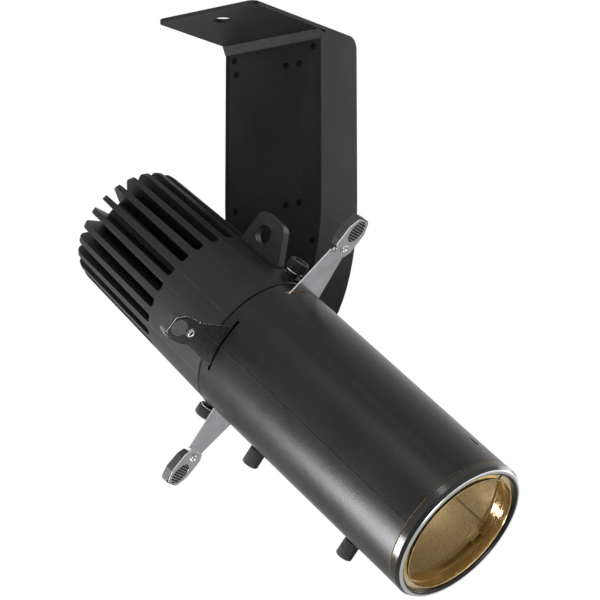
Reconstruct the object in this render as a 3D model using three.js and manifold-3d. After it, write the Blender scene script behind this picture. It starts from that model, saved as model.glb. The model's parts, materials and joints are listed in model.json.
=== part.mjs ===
import * as THREE from 'three';
import { mergeVertices } from 'three/addons/utils/BufferGeometryUtils.js';
import Module from 'manifold-3d';

const wasm = await Module();
wasm.setup();

// Driving dimensions, in millimetres and degrees.
const BARREL_RADIUS = 50;
const BARREL_WALL = 3.5;
const BARREL_LENGTH = 192.8;
const HOUSING_LENGTH = 147.7;
const HOUSING_REAR_RADIUS = 45.4;
const FIN_COUNT = 24;
const FIN_LENGTH = 90;
const PIVOT_BEHIND_SEAM = 41;
const PIVOT_DROP = 204;
const REST_TILT = 39.7;
const ARM_WIDTH = 83.5;
const ARM_DEPTH = 43.5;
const PLATE_THICKNESS = 3;
const PLATE_FREE_END = 20;
const CLAMP_HOLE_RADIUS = 6.75;

// Named clearances.
const SEAM_GAP = 1;
const HALF_SHELL_GAP = 0.3;
const FIT_GAP = 0.3;
const SEAT_GAP = 0.05;
const SHAFT_GAP = 0.08;
const HEAD_TO_ARM_GAP = 7;

// Sizes worked out from the driving dimensions.
const BARREL_BORE = BARREL_RADIUS - BARREL_WALL;
const COLLAR_BORE = BARREL_BORE + 0.1;
const BARREL_REAR = 0.2;
const HOUSING_FRONT = BARREL_REAR - SEAM_GAP;
const ARM_INNER_X = BARREL_RADIUS + HEAD_TO_ARM_GAP;
const ARM_OUTER_X = ARM_INNER_X + ARM_DEPTH;
const ARM_HALF = ARM_WIDTH / 2;
const SHELL_WALL = 2;
const BEND_RADIUS = 8;
const NOSE_DEPTH = 96.5;
const NOSE_BELOW_PIVOT = 10.5;
const NOSE_TOP_Z = -PIVOT_DROP - NOSE_BELOW_PIVOT + NOSE_DEPTH;
const BEZEL_LENGTH = 8.7;
const TAU = Math.PI * 2;
const TURNED_SIDES = 72;

const group = new THREE.Group();
group.name = 'ellipsoidal_spotlight';

const FINISH = {
  armPaint: [0x2b2b2d, 0.5, 0.3],
  housingPaint: [0x262628, 0.55, 0.35],
  barrelPaint: [0x2a2a2c, 0.42, 0.35],
  blackSteel: [0x1a1a1b, 0.45, 0.6],
  brightSteel: [0xc9cacb, 0.22, 1],
  blackPlastic: [0x19191a, 0.6, 0],
  chrome: [0xd6d6d6, 0.08, 1],
  gold: [0xa8854c, 0.4, 0.8],
  glass: [0xe8ecee, 0.04, 0],
  whitePlastic: [0xe6e6e2, 0.5, 0],
  phosphor: [0xe2c65a, 0.5, 0],
  whiteBoard: [0xdcdcd8, 0.4, 0.2],
  mirror: [0xdadcde, 0.1, 1],
};

// Closed-body arithmetic.
function toSolid(geometry) {
  const bare = geometry.index ? geometry.toNonIndexed() : geometry.clone();
  for (const name of Object.keys(bare.attributes)) {
    if (name !== 'position') bare.deleteAttribute(name);
  }
  const merged = mergeVertices(bare, 1e-4);
  const source = merged.index.array;
  const kept = [];
  for (let i = 0; i < source.length; i += 3) {
    const [a, b, c] = [source[i], source[i + 1], source[i + 2]];
    if (a !== b && b !== c && a !== c) kept.push(a, b, c);
  }
  const mesh = new wasm.Mesh({
    numProp: 3,
    vertProperties: new Float32Array(merged.attributes.position.array),
    triVerts: new Uint32Array(kept),
  });
  return new wasm.Manifold(mesh);
}

function toGeometry(solid) {
  const mesh = solid.getMesh();
  const geometry = new THREE.BufferGeometry();
  const positions = new Float32Array(mesh.numVert * 3);
  for (let i = 0; i < mesh.numVert; i += 1) {
    for (let k = 0; k < 3; k += 1) {
      positions[i * 3 + k] = mesh.vertProperties[i * mesh.numProp + k];
    }
  }
  geometry.setAttribute('position', new THREE.BufferAttribute(positions, 3));
  geometry.setIndex(Array.from(mesh.triVerts));
  return geometry;
}

function join(first, ...others) {
  let solid = toSolid(first);
  for (const other of others) solid = solid.add(toSolid(other));
  return toGeometry(solid);
}

function cut(first, ...others) {
  let solid = toSolid(first);
  for (const other of others) solid = solid.subtract(toSolid(other));
  return toGeometry(solid);
}

function common(first, second) {
  return toGeometry(toSolid(first).intersect(toSolid(second)));
}

// Shape makers.
function box(x0, x1, y0, y1, z0, z1) {
  const geometry = new THREE.BoxGeometry(x1 - x0, y1 - y0, z1 - z0);
  geometry.translate((x0 + x1) / 2, (y0 + y1) / 2, (z0 + z1) / 2);
  return geometry;
}

function shapeOf(points) {
  return new THREE.Shape(points.map(([x, y]) => new THREE.Vector2(x, y)));
}

function roundedPoints(corners, steps = 4) {
  const out = [];
  const count = corners.length;
  corners.forEach(([x, y, radius = 0], index) => {
    if (radius === 0) {
      out.push([x, y]);
      return;
    }
    const here = new THREE.Vector2(x, y);
    const before = corners[(index + count - 1) % count];
    const after = corners[(index + 1) % count];
    const toBefore = new THREE.Vector2(before[0], before[1]).sub(here).normalize();
    const toAfter = new THREE.Vector2(after[0], after[1]).sub(here).normalize();
    const halfAngle = Math.acos(THREE.MathUtils.clamp(toBefore.dot(toAfter), -1, 1)) / 2;
    const reach = radius / Math.tan(halfAngle);
    const start = here.clone().addScaledVector(toBefore, reach);
    const end = here.clone().addScaledVector(toAfter, reach);
    const middle = toBefore.clone().add(toAfter).normalize();
    const centre = here.clone().addScaledVector(middle, radius / Math.sin(halfAngle));
    const from = Math.atan2(start.y - centre.y, start.x - centre.x);
    let sweep = Math.atan2(end.y - centre.y, end.x - centre.x) - from;
    if (sweep > Math.PI) sweep -= TAU;
    if (sweep < -Math.PI) sweep += TAU;
    for (let k = 0; k <= steps; k += 1) {
      const angle = from + (sweep * k) / steps;
      out.push([centre.x + radius * Math.cos(angle), centre.y + radius * Math.sin(angle)]);
    }
  });
  return out;
}

function extrude(points, depth, bevel = 0) {
  return new THREE.ExtrudeGeometry(shapeOf(points), {
    depth: depth - 2 * bevel,
    bevelEnabled: bevel > 0,
    bevelThickness: bevel,
    bevelSize: bevel,
    bevelOffset: -bevel,
    bevelSegments: 1,
    steps: 1,
  }).translate(0, 0, bevel);
}

// Points are (x, z); the plate's thickness runs along Y, from yLow upwards.
function plateAcrossY(points, thickness, yLow, bevel = 0) {
  return extrude(points, thickness, bevel).rotateX(Math.PI / 2).translate(0, yLow + thickness, 0);
}

// Points are (y, z); the plate's thickness runs along X, from xLow upwards.
function plateAcrossX(points, thickness, xLow, bevel = 0) {
  const turn = new THREE.Matrix4().makeBasis(
    new THREE.Vector3(0, 1, 0),
    new THREE.Vector3(0, 0, 1),
    new THREE.Vector3(1, 0, 0),
  );
  return extrude(points, thickness, bevel).applyMatrix4(turn).translate(xLow, 0, 0);
}

function discPoints(radius, sides) {
  return Array.from({ length: sides }, (_, k) => [
    radius * Math.cos((TAU * k) / sides),
    radius * Math.sin((TAU * k) / sides),
  ]);
}

function ridgedPoints(outer, inner, ridges) {
  return Array.from({ length: ridges * 2 }, (_, k) => {
    const radius = k % 2 === 0 ? outer : inner;
    const angle = (TAU * k) / (ridges * 2);
    return [radius * Math.cos(angle), radius * Math.sin(angle)];
  });
}

function rodAlongX(radius, x0, x1, y, z, sides = 32) {
  return plateAcrossX(discPoints(radius, sides), x1 - x0, x0).translate(0, y, z);
}

function rodAlongZ(radius, z0, z1, sides = 32) {
  return extrude(discPoints(radius, sides), z1 - z0).translate(0, 0, z0);
}

// Head frame: origin at the tilt pivot, beam along -Y, top along +Z.
// "ahead" is the distance in front of the seam between housing and barrel.
function yAt(ahead) {
  return -(PIVOT_BEHIND_SEAM + ahead);
}

// Profile points are [radius, ahead]; the loop is closed or starts and ends on the axis.
function turned(profile, sides = TURNED_SIDES) {
  const points = profile.map(([radius, ahead]) => new THREE.Vector2(radius, yAt(ahead)));
  const onAxis = profile[0][0] === 0 && profile[profile.length - 1][0] === 0;
  if (!onAxis) points.push(points[0].clone());
  let area = 0;
  for (let i = 0; i < points.length; i += 1) {
    const next = points[(i + 1) % points.length];
    area += points[i].x * next.y - next.x * points[i].y;
  }
  if (area < 0) points.reverse();
  return new THREE.LatheGeometry(points, sides);
}

// A radial piece is made with its axis along +Z and its middle on Y = 0.
function radial(geometry, ahead, angle) {
  return geometry.translate(0, yAt(ahead), 0).rotateY(THREE.MathUtils.degToRad(angle));
}

function add(name, geometry, finish) {
  const [color, roughness, metalness] = FINISH[finish];
  const material = new THREE.MeshStandardMaterial({ color, roughness, metalness });
  const flat = geometry.index ? geometry.toNonIndexed() : geometry;
  flat.computeVertexNormals();
  const mesh = new THREE.Mesh(flat, material);
  mesh.name = name;
  group.add(mesh);
  return mesh;
}

function addToHead(name, geometry, finish) {
  geometry.rotateX(THREE.MathUtils.degToRad(REST_TILT));
  geometry.translate(0, 0, -PIVOT_DROP);
  return add(name, geometry, finish);
}

// ---------------------------------------------------------------- bracket
function armOutline(inset, steps = 28) {
  const half = ARM_HALF - inset;
  const depth = NOSE_DEPTH - inset;
  const points = [[-half, -PLATE_THICKNESS / 2]];
  for (let k = 0; k <= steps; k += 1) {
    const angle = (Math.PI * k) / steps;
    points.push([-half * Math.cos(angle), NOSE_TOP_Z - depth * Math.sin(angle)]);
  }
  points.push([half, -PLATE_THICKNESS / 2]);
  return points;
}

// Half the arm's width at a height z on its rounded lower end.
function armHalfAt(z) {
  return ARM_HALF * Math.sqrt(1 - ((NOSE_TOP_Z - z) / NOSE_DEPTH) ** 2);
}

function bendProfile() {
  const outer = [];
  const inner = [];
  const centreX = ARM_OUTER_X - BEND_RADIUS;
  for (let k = 0; k <= 6; k += 1) {
    const angle = (Math.PI / 2) * (k / 6);
    outer.push([centreX + BEND_RADIUS * Math.sin(angle), -BEND_RADIUS + BEND_RADIUS * Math.cos(angle)]);
    const small = BEND_RADIUS - PLATE_THICKNESS;
    inner.unshift([centreX + small * Math.sin(angle), -BEND_RADIUS + small * Math.cos(angle)]);
  }
  const lowZ = -BEND_RADIUS - 2;
  return [
    [centreX - 2, 0],
    ...outer,
    [ARM_OUTER_X, lowZ],
    [ARM_OUTER_X - PLATE_THICKNESS, lowZ],
    ...inner,
    [centreX - 2, -PLATE_THICKNESS],
  ];
}

const GLAND_X = ARM_INNER_X + ARM_DEPTH * 0.55;
const GLAND_Z = -24;
const GLAND_THREAD = 6;
const SHAFT_RADIUS = 5;
const NOTCH_LENGTH = 5;
const NOTCH_DEPTH = 1.2;
const PLATE_CORNER = 5;

function yokeBracket() {
  const bendStart = ARM_OUTER_X - BEND_RADIUS;
  const plate = extrude(
    roundedPoints([
      [-PLATE_FREE_END, -ARM_HALF, PLATE_CORNER],
      [bendStart, -ARM_HALF],
      [bendStart, ARM_HALF],
      [-PLATE_FREE_END, ARM_HALF, PLATE_CORNER],
    ]),
    PLATE_THICKNESS,
  ).translate(0, 0, -PLATE_THICKNESS);
  const bend = plateAcrossY(bendProfile(), ARM_WIDTH, -ARM_HALF);
  const outerWall = cut(
    plateAcrossX(armOutline(0), PLATE_THICKNESS, ARM_OUTER_X - PLATE_THICKNESS),
    box(bendStart, ARM_OUTER_X + 1, -ARM_HALF - 1, ARM_HALF + 1, -BEND_RADIUS, 1),
  );
  const wallDepth = ARM_DEPTH - PLATE_THICKNESS + 0.5;
  const sideWall = cut(
    plateAcrossX(armOutline(0), wallDepth, ARM_INNER_X),
    plateAcrossX(armOutline(SHELL_WALL), wallDepth + 2, ARM_INNER_X - 1),
    box(bendStart, ARM_OUTER_X + 1, -ARM_HALF - 1, ARM_HALF + 1, -BEND_RADIUS, 1),
  );
  const cornerFill = cut(
    plateAcrossY(
      [...bendProfile().slice(0, 8), [ARM_OUTER_X, -BEND_RADIUS - 2], [bendStart - 2, -BEND_RADIUS - 2]],
      ARM_WIDTH,
      -ARM_HALF,
    ),
    box(bendStart - 3, ARM_OUTER_X + 1, -ARM_HALF + SHELL_WALL, ARM_HALF - SHELL_WALL, -BEND_RADIUS - 3, 1),
  );
  const notch = (side) => box(
    ARM_INNER_X - 1,
    ARM_INNER_X + NOTCH_LENGTH,
    side * ARM_HALF - 1,
    side * ARM_HALF + 1,
    -PLATE_THICKNESS - NOTCH_DEPTH,
    -PLATE_THICKNESS,
  );
  const gland = new THREE.CylinderGeometry(GLAND_THREAD + FIT_GAP, GLAND_THREAD + FIT_GAP, 12, 24)
    .translate(GLAND_X, ARM_HALF, GLAND_Z);
  return cut(
    join(plate, bend, outerWall, sideWall, cornerFill),
    rodAlongZ(CLAMP_HOLE_RADIUS, -PLATE_THICKNESS - 1, 1, 40),
    rodAlongX(SHAFT_RADIUS + FIT_GAP, ARM_OUTER_X - 8, ARM_OUTER_X + 2, 0, -PIVOT_DROP),
    gland,
    notch(-1),
    notch(1),
  );
}

const COVER_X = ARM_INNER_X + 0.4;
const COVER_THICKNESS = 1.5;
const CHAMFER_OUT = 4;
const CHAMFER_DROP = 6.2;
const COVER_TOP = -PLATE_THICKNESS - FIT_GAP;
const PIVOT_TUBE_RADIUS = 7.2;

// Screw places on the cover, [y, drop below the top plate].
const SCREW_SIDE = ARM_HALF - 7.25;
const NOSE_SCREW_DROP = PIVOT_DROP - 53.5;
const NOSE_SCREW_SIDE = armHalfAt(-NOSE_SCREW_DROP) - 5.3;
const LOW_SCREW_DROP = PIVOT_DROP - 81;
const COVER_SCREWS = [
  [-SCREW_SIDE, 14.2],
  [SCREW_SIDE, 14.2],
  [-NOSE_SCREW_SIDE, NOSE_SCREW_DROP],
  [NOSE_SCREW_SIDE, NOSE_SCREW_DROP],
  [-SCREW_SIDE + 12, 24.7],
  [-SCREW_SIDE + 23.5, 24.7],
  [SCREW_SIDE - 1.5, 24.7],
  [-SCREW_SIDE + 12, LOW_SCREW_DROP],
  [-SCREW_SIDE + 23.5, LOW_SCREW_DROP],
  [SCREW_SIDE - 1.5, LOW_SCREW_DROP],
];
const SCREW_SHANK = 1.3;
const SCREW_LENGTH = 5;
const SCREW_HEAD_RADIUS = 2.5;
const SCREW_HEAD_HEIGHT = 0.75;
const SCREW_CROSS_DEPTH = 0.4;

function coverOutline() {
  const inner = armOutline(SHELL_WALL + FIT_GAP);
  inner[0][1] = COVER_TOP;
  inner[inner.length - 1][1] = COVER_TOP;
  return inner;
}

function driverCover() {
  const panel = plateAcrossX(coverOutline(), COVER_THICKNESS, COVER_X);
  const flange = plateAcrossY(
    [
      [ARM_INNER_X - CHAMFER_OUT, COVER_TOP],
      [ARM_INNER_X - FIT_GAP, COVER_TOP],
      [ARM_INNER_X - FIT_GAP, COVER_TOP - CHAMFER_DROP],
    ],
    ARM_WIDTH,
    -ARM_HALF,
  );
  const inner = ARM_HALF - SHELL_WALL - FIT_GAP;
  const bridge = box(
    ARM_INNER_X - FIT_GAP - 0.4,
    COVER_X + COVER_THICKNESS,
    -inner,
    inner,
    COVER_TOP - CHAMFER_DROP + 0.8,
    COVER_TOP,
  );
  const holes = COVER_SCREWS.map(([y, drop]) => (
    rodAlongX(SCREW_SHANK + 0.2, COVER_X - 1, COVER_X + 3, y, -drop, 10)
  ));
  const pivotHole = rodAlongX(SHAFT_RADIUS + 1, COVER_X - 1, COVER_X + 3, 0, -PIVOT_DROP);
  return cut(join(panel, flange, bridge), pivotHole, ...holes);
}

function coverScrew(y, drop) {
  const top = COVER_X - SCREW_HEAD_HEIGHT;
  const floor = top + SCREW_CROSS_DEPTH;
  const head = rodAlongX(SCREW_HEAD_RADIUS, top, COVER_X - SEAT_GAP, 0, 0, 12);
  const shank = rodAlongX(SCREW_SHANK, COVER_X - 0.2, COVER_X + SCREW_LENGTH, 0, 0, 8);
  const slotLong = box(top - 1, floor, -1.5, 1.5, -0.35, 0.35);
  const slotCross = box(top - 1, floor, -0.35, 0.35, -1.5, 1.5);
  return cut(join(head, shank), slotLong, slotCross).translate(0, y, -drop);
}

const WALL_FACE_X = ARM_OUTER_X - PLATE_THICKNESS;

function ledDriver() {
  const half = ARM_HALF - 14.75;
  const depth = ARM_DEPTH - 15.5;
  const top = -62;
  const bottom = 39 - PIVOT_DROP;
  const body = box(WALL_FACE_X - depth, WALL_FACE_X - FIT_GAP, -half, half, bottom, top);
  const lip = box(WALL_FACE_X - 2, WALL_FACE_X - FIT_GAP, 7 - half, half - 7, top - 0.5, top + 5);
  const groove = (z) => (
    box(WALL_FACE_X - depth - 2, WALL_FACE_X - depth + 1, -half - 1, half + 1, z - 1, z + 1)
  );
  return cut(join(body, lip), groove(top - 14), groove(bottom + 14));
}

function terminalBlock() {
  const body = box(WALL_FACE_X - 13, WALL_FACE_X - FIT_GAP, -13, 13, -52, -38);
  const wells = [-8, 0, 8].map((y) => rodAlongX(2.2, WALL_FACE_X - 14, WALL_FACE_X - 9, y, -45, 12));
  return cut(body, ...wells);
}

function cableGland() {
  const faceY = ARM_HALF + SEAT_GAP;
  const along = (radius, y0, y1, sides) => (
    new THREE.CylinderGeometry(radius, radius, y1 - y0, sides).translate(0, (y0 + y1) / 2, 0)
  );
  const nut = along(9.5, faceY, faceY + 5, 6);
  const dome = new THREE.CylinderGeometry(5.5, 8.2, 7, 20).translate(0, faceY + 8.4, 0);
  const thread = along(GLAND_THREAD, ARM_HALF - 8, faceY + 1, 20);
  const lockNut = along(9, ARM_HALF - SHELL_WALL - 3.5, ARM_HALF - SHELL_WALL - SEAT_GAP, 6);
  const bore = along(3.2, ARM_HALF - 12, faceY + 14, 16);
  return cut(join(nut, dome, thread, lockNut), bore).translate(GLAND_X, 0, GLAND_Z);
}

function pivotTube() {
  const x0 = COVER_X + COVER_THICKNESS + SEAT_GAP;
  const x1 = WALL_FACE_X - SEAT_GAP;
  return cut(
    rodAlongX(PIVOT_TUBE_RADIUS, x0, x1, 0, -PIVOT_DROP),
    rodAlongX(SHAFT_RADIUS + SHAFT_GAP, x0 - 1, x1 + 1, 0, -PIVOT_DROP),
  );
}

const KNOB_RADIUS = 12.5;
const KNOB_LENGTH = 16;
const KNOB_COLLAR_RADIUS = 9;
const KNOB_LOBES = 8;
const KNOB_LOBE_DEPTH = 0.9;

function tiltKnob() {
  const start = ARM_OUTER_X + FIT_GAP;
  const lobes = Array.from({ length: KNOB_LOBES * 4 }, (_, k) => {
    const angle = (TAU * k) / (KNOB_LOBES * 4);
    const radius = KNOB_RADIUS - KNOB_LOBE_DEPTH * (1 - Math.cos(angle * KNOB_LOBES));
    return [radius * Math.cos(angle), radius * Math.sin(angle)];
  });
  const grip = plateAcrossX(lobes, KNOB_LENGTH - 3, start + 3, 1);
  const collar = rodAlongX(KNOB_COLLAR_RADIUS, start, start + 4, 0, 0);
  const bore = rodAlongX(SHAFT_RADIUS + SHAFT_GAP, start - 1, start + 10.4, 0, 0);
  return cut(join(grip, collar), bore).translate(0, 0, -PIVOT_DROP);
}

// ---------------------------------------------------------------- head
const SLOT_FRONT = -(HOUSING_LENGTH - FIN_LENGTH);
const CAVITY_FLOOR = SLOT_FRONT + 7.7;
const COLLAR_DEPTH = 15;
const LOCK_AHEAD = -8;
const LOCK_STEM = 2;
const LOCK_BOSS_RADIUS = 6.8;
const LOCK_BOSS_TOP = BARREL_RADIUS + 1.6;
const BOSS_FACE_X = BARREL_RADIUS + 0.5;
const PIVOT_BOSS_RADIUS = 15.5;

const CAVITY_RADIUS = COLLAR_BORE - 4.6;
const LED_FACE = CAVITY_FLOOR + 1.6;
const REFLECTOR_START = LED_FACE + 3.4;
const REFLECTOR_END = -COLLAR_DEPTH - 3;

function housingRadiusAt(ahead) {
  return BARREL_RADIUS + ((BARREL_RADIUS - HOUSING_REAR_RADIUS) * ahead) / HOUSING_LENGTH;
}

function finSlot(index) {
  const halfFront = 3.4;
  const halfRear = 4.35;
  const reach = -HOUSING_LENGTH - 3;
  const points = roundedPoints(
    [
      [-halfFront, -SLOT_FRONT, 2.2],
      [halfFront, -SLOT_FRONT, 2.2],
      [halfRear, -reach],
      [-halfRear, -reach],
    ],
    2,
  );
  const inner = 25;
  const outer = BARREL_RADIUS + 4;
  const slot = extrude(points, outer - inner).translate(0, 0, inner);
  const place = slot.attributes.position;
  for (let i = 0; i < place.count; i += 1) {
    const share = place.getZ(i) / housingRadiusAt(SLOT_FRONT);
    place.setX(i, place.getX(i) * Math.pow(share, 1.15));
    place.setY(i, place.getY(i) - PIVOT_BEHIND_SEAM);
  }
  return slot.rotateY((TAU * index) / FIN_COUNT);
}

const LUG_HALF = 3;
const LUG_HOLE = [-43, BARREL_RADIUS + 10.3];
const LUG_HOLE_RADIUS = 6.5;

function safetyLug() {
  const rimRadius = housingRadiusAt(-40);
  const outline = roundedPoints([
    [yAt(-57), rimRadius - 4],
    [yAt(-18), rimRadius - 4],
    [yAt(-19), rimRadius + 2.5],
    [yAt(-31), rimRadius + 24.6, 6],
    [yAt(-54.5), rimRadius + 24.6, 4],
    [yAt(-57), rimRadius - 2],
  ]);
  const ear = plateAcrossX(outline, LUG_HALF * 2, -LUG_HALF, 0.4);
  const hole = rodAlongX(LUG_HOLE_RADIUS, -LUG_HALF - 2, LUG_HALF + 2, yAt(LUG_HOLE[0]), LUG_HOLE[1], 28);
  return cut(ear, hole);
}

function rearHousing() {
  const front = HOUSING_FRONT;
  const rear = -HOUSING_LENGTH;
  const rearRadius = housingRadiusAt(rear);
  const shell = turned([
    [0, CAVITY_FLOOR],
    [CAVITY_RADIUS - 8, CAVITY_FLOOR],
    [CAVITY_RADIUS, CAVITY_FLOOR + 6],
    [CAVITY_RADIUS, -COLLAR_DEPTH],
    [COLLAR_BORE, -COLLAR_DEPTH],
    [COLLAR_BORE, front],
    [BARREL_RADIUS - 0.6, front],
    [BARREL_RADIUS, front - 0.6],
    [housingRadiusAt(rear + 7), rear + 7],
    [rearRadius - 1.2, rear + 2.4],
    [rearRadius - 5, rear],
    [24, rear],
    [22, rear + 5],
    [0, rear + 5],
  ]);
  const slots = Array.from({ length: FIN_COUNT }, (_, index) => finSlot(index));
  const pivotBoss = rodAlongX(PIVOT_BOSS_RADIUS, CAVITY_RADIUS + 1, BOSS_FACE_X, 0, 0, 36);
  const lockBoss = (angle) => radial(
    rodAlongZ(LOCK_BOSS_RADIUS, COLLAR_BORE + 0.4, LOCK_BOSS_TOP, 28),
    LOCK_AHEAD,
    angle,
  );
  const lockHole = (angle) => radial(
    rodAlongZ(LOCK_STEM + FIT_GAP, COLLAR_BORE - 2, BARREL_RADIUS + 4, 16),
    LOCK_AHEAD,
    angle,
  );
  const shaftHole = rodAlongX(SHAFT_RADIUS + 0.1, CAVITY_RADIUS - 4, BOSS_FACE_X + 2, 0, 0);
  const finned = cut(shell, ...slots);
  const whole = join(finned, pivotBoss, lockBoss(0), lockBoss(180));
  return cut(join(whole, safetyLug()), lockHole(0), lockHole(180), shaftHole);
}

const FLANGE_RADIUS = 9.5;
const FLANGE_THICKNESS = 3;
const WASHER_RADIUS = 10.2;

function pivotShaft() {
  const flange = rodAlongX(FLANGE_RADIUS, BOSS_FACE_X + SEAT_GAP, BOSS_FACE_X + FLANGE_THICKNESS, 0, 0, 32);
  const shaft = rodAlongX(SHAFT_RADIUS, CAVITY_RADIUS + 1.5, ARM_OUTER_X + 10, 0, 0);
  return join(flange, shaft);
}

function pivotWasher() {
  const x0 = BOSS_FACE_X + FLANGE_THICKNESS + SEAT_GAP;
  const x1 = ARM_INNER_X - FIT_GAP;
  return cut(
    rodAlongX(WASHER_RADIUS, x0, x1, 0, 0, 32),
    rodAlongX(SHAFT_RADIUS + SEAT_GAP, x0 - 1, x1 + 1, 0, 0),
  );
}

function ledBoard() {
  const low = CAVITY_FLOOR + SEAT_GAP;
  const board = turned([[0, low], [24, low], [24, LED_FACE], [0, LED_FACE]], 40);
  const pads = [0, 90, 180, 270].map((angle) => radial(box(-2, 2, -3, 3, 20.5, 26), LED_FACE, angle));
  return cut(board, ...pads);
}

function ledChip() {
  const low = LED_FACE + SEAT_GAP;
  return turned([[0, low], [9.5, low], [9.5, low + 0.95], [8, low + 1.45], [0, low + 1.65]], 32);
}

function cobHolder() {
  const low = LED_FACE + SEAT_GAP;
  return turned([[10, low], [19, low], [19, low + 2.95], [10, low + 2.95]], 32);
}

const REFLECTOR_WALL = 1.2;
const REFLECTOR_THROAT = 12.5;

function reflector() {
  const inside = [];
  const outside = [];
  const steps = 5;
  for (let k = 0; k <= steps; k += 1) {
    const share = k / steps;
    const ahead = REFLECTOR_START + (REFLECTOR_END - REFLECTOR_START) * share;
    const flare = Math.sqrt(share * (2 - share * 0.95));
    const radius = REFLECTOR_THROAT + (CAVITY_RADIUS - 17) * flare;
    inside.push([radius, ahead]);
    outside.unshift([radius + REFLECTOR_WALL, ahead - 0.2]);
  }
  const rimRadius = CAVITY_RADIUS - 0.4;
  const rim = [[rimRadius, REFLECTOR_END], [rimRadius, REFLECTOR_END - REFLECTOR_WALL]];
  const profile = [...inside, ...rim, ...outside];
  return turned(profile, 28);
}

const LOCK_HEAD = BARREL_RADIUS + 5.6;
const LOCK_HEAD_HEIGHT = 7;

function lockScrew(angle) {
  const stem = rodAlongZ(LOCK_STEM, COLLAR_BORE + 0.1, BARREL_RADIUS + 7, 16);
  const neck = rodAlongZ(4, LOCK_BOSS_TOP + FIT_GAP, LOCK_HEAD + 0.4, 20);
  const head = extrude(ridgedPoints(7, 6.5, 16), LOCK_HEAD_HEIGHT).translate(0, 0, LOCK_HEAD);
  const dish = rodAlongZ(4.6, LOCK_HEAD + LOCK_HEAD_HEIGHT - 0.6, LOCK_HEAD + LOCK_HEAD_HEIGHT + 1, 20);
  return radial(cut(join(stem, neck, head), dish), LOCK_AHEAD, angle);
}

// ---------------------------------------------------------------- barrel
const APERTURE_RADIUS = 24;
const GATE_REAR = 3.4;
const GATE_REAR_FACE = 5;
const BLADE_GAP = 0.4;
const BLADE_THICKNESS = 0.8;
const BLADE_PITCH = BLADE_GAP + BLADE_THICKNESS;
const BLADE_INNER_HALF = 19.5;
const BLADE_RIM_HALF = 14.6;
const BLADE_NECK_HALF = 8.6;
const BLADE_SLOT_ROOM = 4.65;
const GATE_SPIGOT = BARREL_BORE - FIT_GAP;

// name, clock angle, place in the stack, resting turn in its own slot
const BLADES = [
  ['bottom', 180, 0, 12],
  ['right', 90, 1, 8],
  ['left', -90, 2, 9],
  ['top', 0, 3, 8],
];

function bladeAhead(level) {
  return GATE_REAR_FACE + BLADE_GAP + BLADE_THICKNESS / 2 + BLADE_PITCH * level;
}

const GATE_FRONT = bladeAhead(BLADES.length - 1) + BLADE_GAP + BLADE_THICKNESS / 2;
const KNOB_SLOT_HALF = 3.2;
const CARRIAGE_HALF = 8;

const REAR_SLOT_START = 28.5;
const FRONT_SLOT_END = BARREL_LENGTH - 24.8;
const SLOT_BRIDGE_MIDDLE = BARREL_LENGTH / 2 - 3.15;
const SLOT_BRIDGE_HALF = 8.25;

// name, rest position ahead of the seam, slot start, slot end
const CARRIAGES = [
  ['rear', REAR_SLOT_START + 15.3, REAR_SLOT_START, SLOT_BRIDGE_MIDDLE - SLOT_BRIDGE_HALF],
  ['front', FRONT_SLOT_END - 27.2, SLOT_BRIDGE_MIDDLE + SLOT_BRIDGE_HALF, FRONT_SLOT_END],
];

function bladeSlotCut(angle, level) {
  const half = BLADE_RIM_HALF + BLADE_SLOT_ROOM;
  return radial(box(-half, half, -1.1, 1.1, BARREL_BORE - 12, BARREL_RADIUS + 4), bladeAhead(level), angle);
}

function knobSlotCut(start, end) {
  const shape = roundedPoints([
    [-KNOB_SLOT_HALF, yAt(end), 3],
    [KNOB_SLOT_HALF, yAt(end), 3],
    [KNOB_SLOT_HALF, yAt(start), 3],
    [-KNOB_SLOT_HALF, yAt(start), 3],
  ]);
  return extrude(shape, 20).translate(0, 0, -BARREL_RADIUS - 6);
}

const ACCESSORY_SLOT_BACK = 19.8;
const HATCH_START = 12.5;
const HATCH_END = 25;
const HATCH_HALF_ANGLE = 46;
const HATCH_DEPTH = 1.5;
const HATCH_GAP = 0.45;

// How far a flat facet of the turned shells dips below the true circle.
const FACET_SAG = BARREL_RADIUS * (1 - Math.cos(Math.PI / TURNED_SIDES));

function wedgeSector(halfAngle, start, end, inner, outer, centreAngle) {
  const steps = 16;
  const points = [];
  for (let k = 0; k <= steps; k += 1) {
    const angle = THREE.MathUtils.degToRad(-halfAngle + (2 * halfAngle * k) / steps);
    points.push([outer * Math.sin(angle), outer * Math.cos(angle)]);
  }
  for (let k = steps; k >= 0; k -= 1) {
    const angle = THREE.MathUtils.degToRad(-halfAngle + (2 * halfAngle * k) / steps);
    points.push([inner * Math.sin(angle), inner * Math.cos(angle)]);
  }
  const ring = plateAcrossY(points, end - start, yAt(end));
  return ring.rotateY(THREE.MathUtils.degToRad(centreAngle));
}

function barrelTube() {
  const end = BARREL_LENGTH - FIT_GAP;
  return turned([
    [BARREL_BORE, BARREL_REAR],
    [BARREL_RADIUS - 0.5, BARREL_REAR],
    [BARREL_RADIUS, BARREL_REAR + 0.5],
    [BARREL_RADIUS, end],
    [BARREL_BORE, end],
  ]);
}

function accessorySlotCut() {
  const teardrop = roundedPoints([[-1.4, -3.6, 1.2], [1.4, -3.6, 1.2], [0.5, 3.6, 0.3], [-0.5, 3.6, 0.3]], 3);
  const through = extrude(teardrop, BARREL_WALL + 8).translate(0, 0, BARREL_BORE - 4);
  return radial(through, BARREL_LENGTH - ACCESSORY_SLOT_BACK, 0);
}

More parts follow.
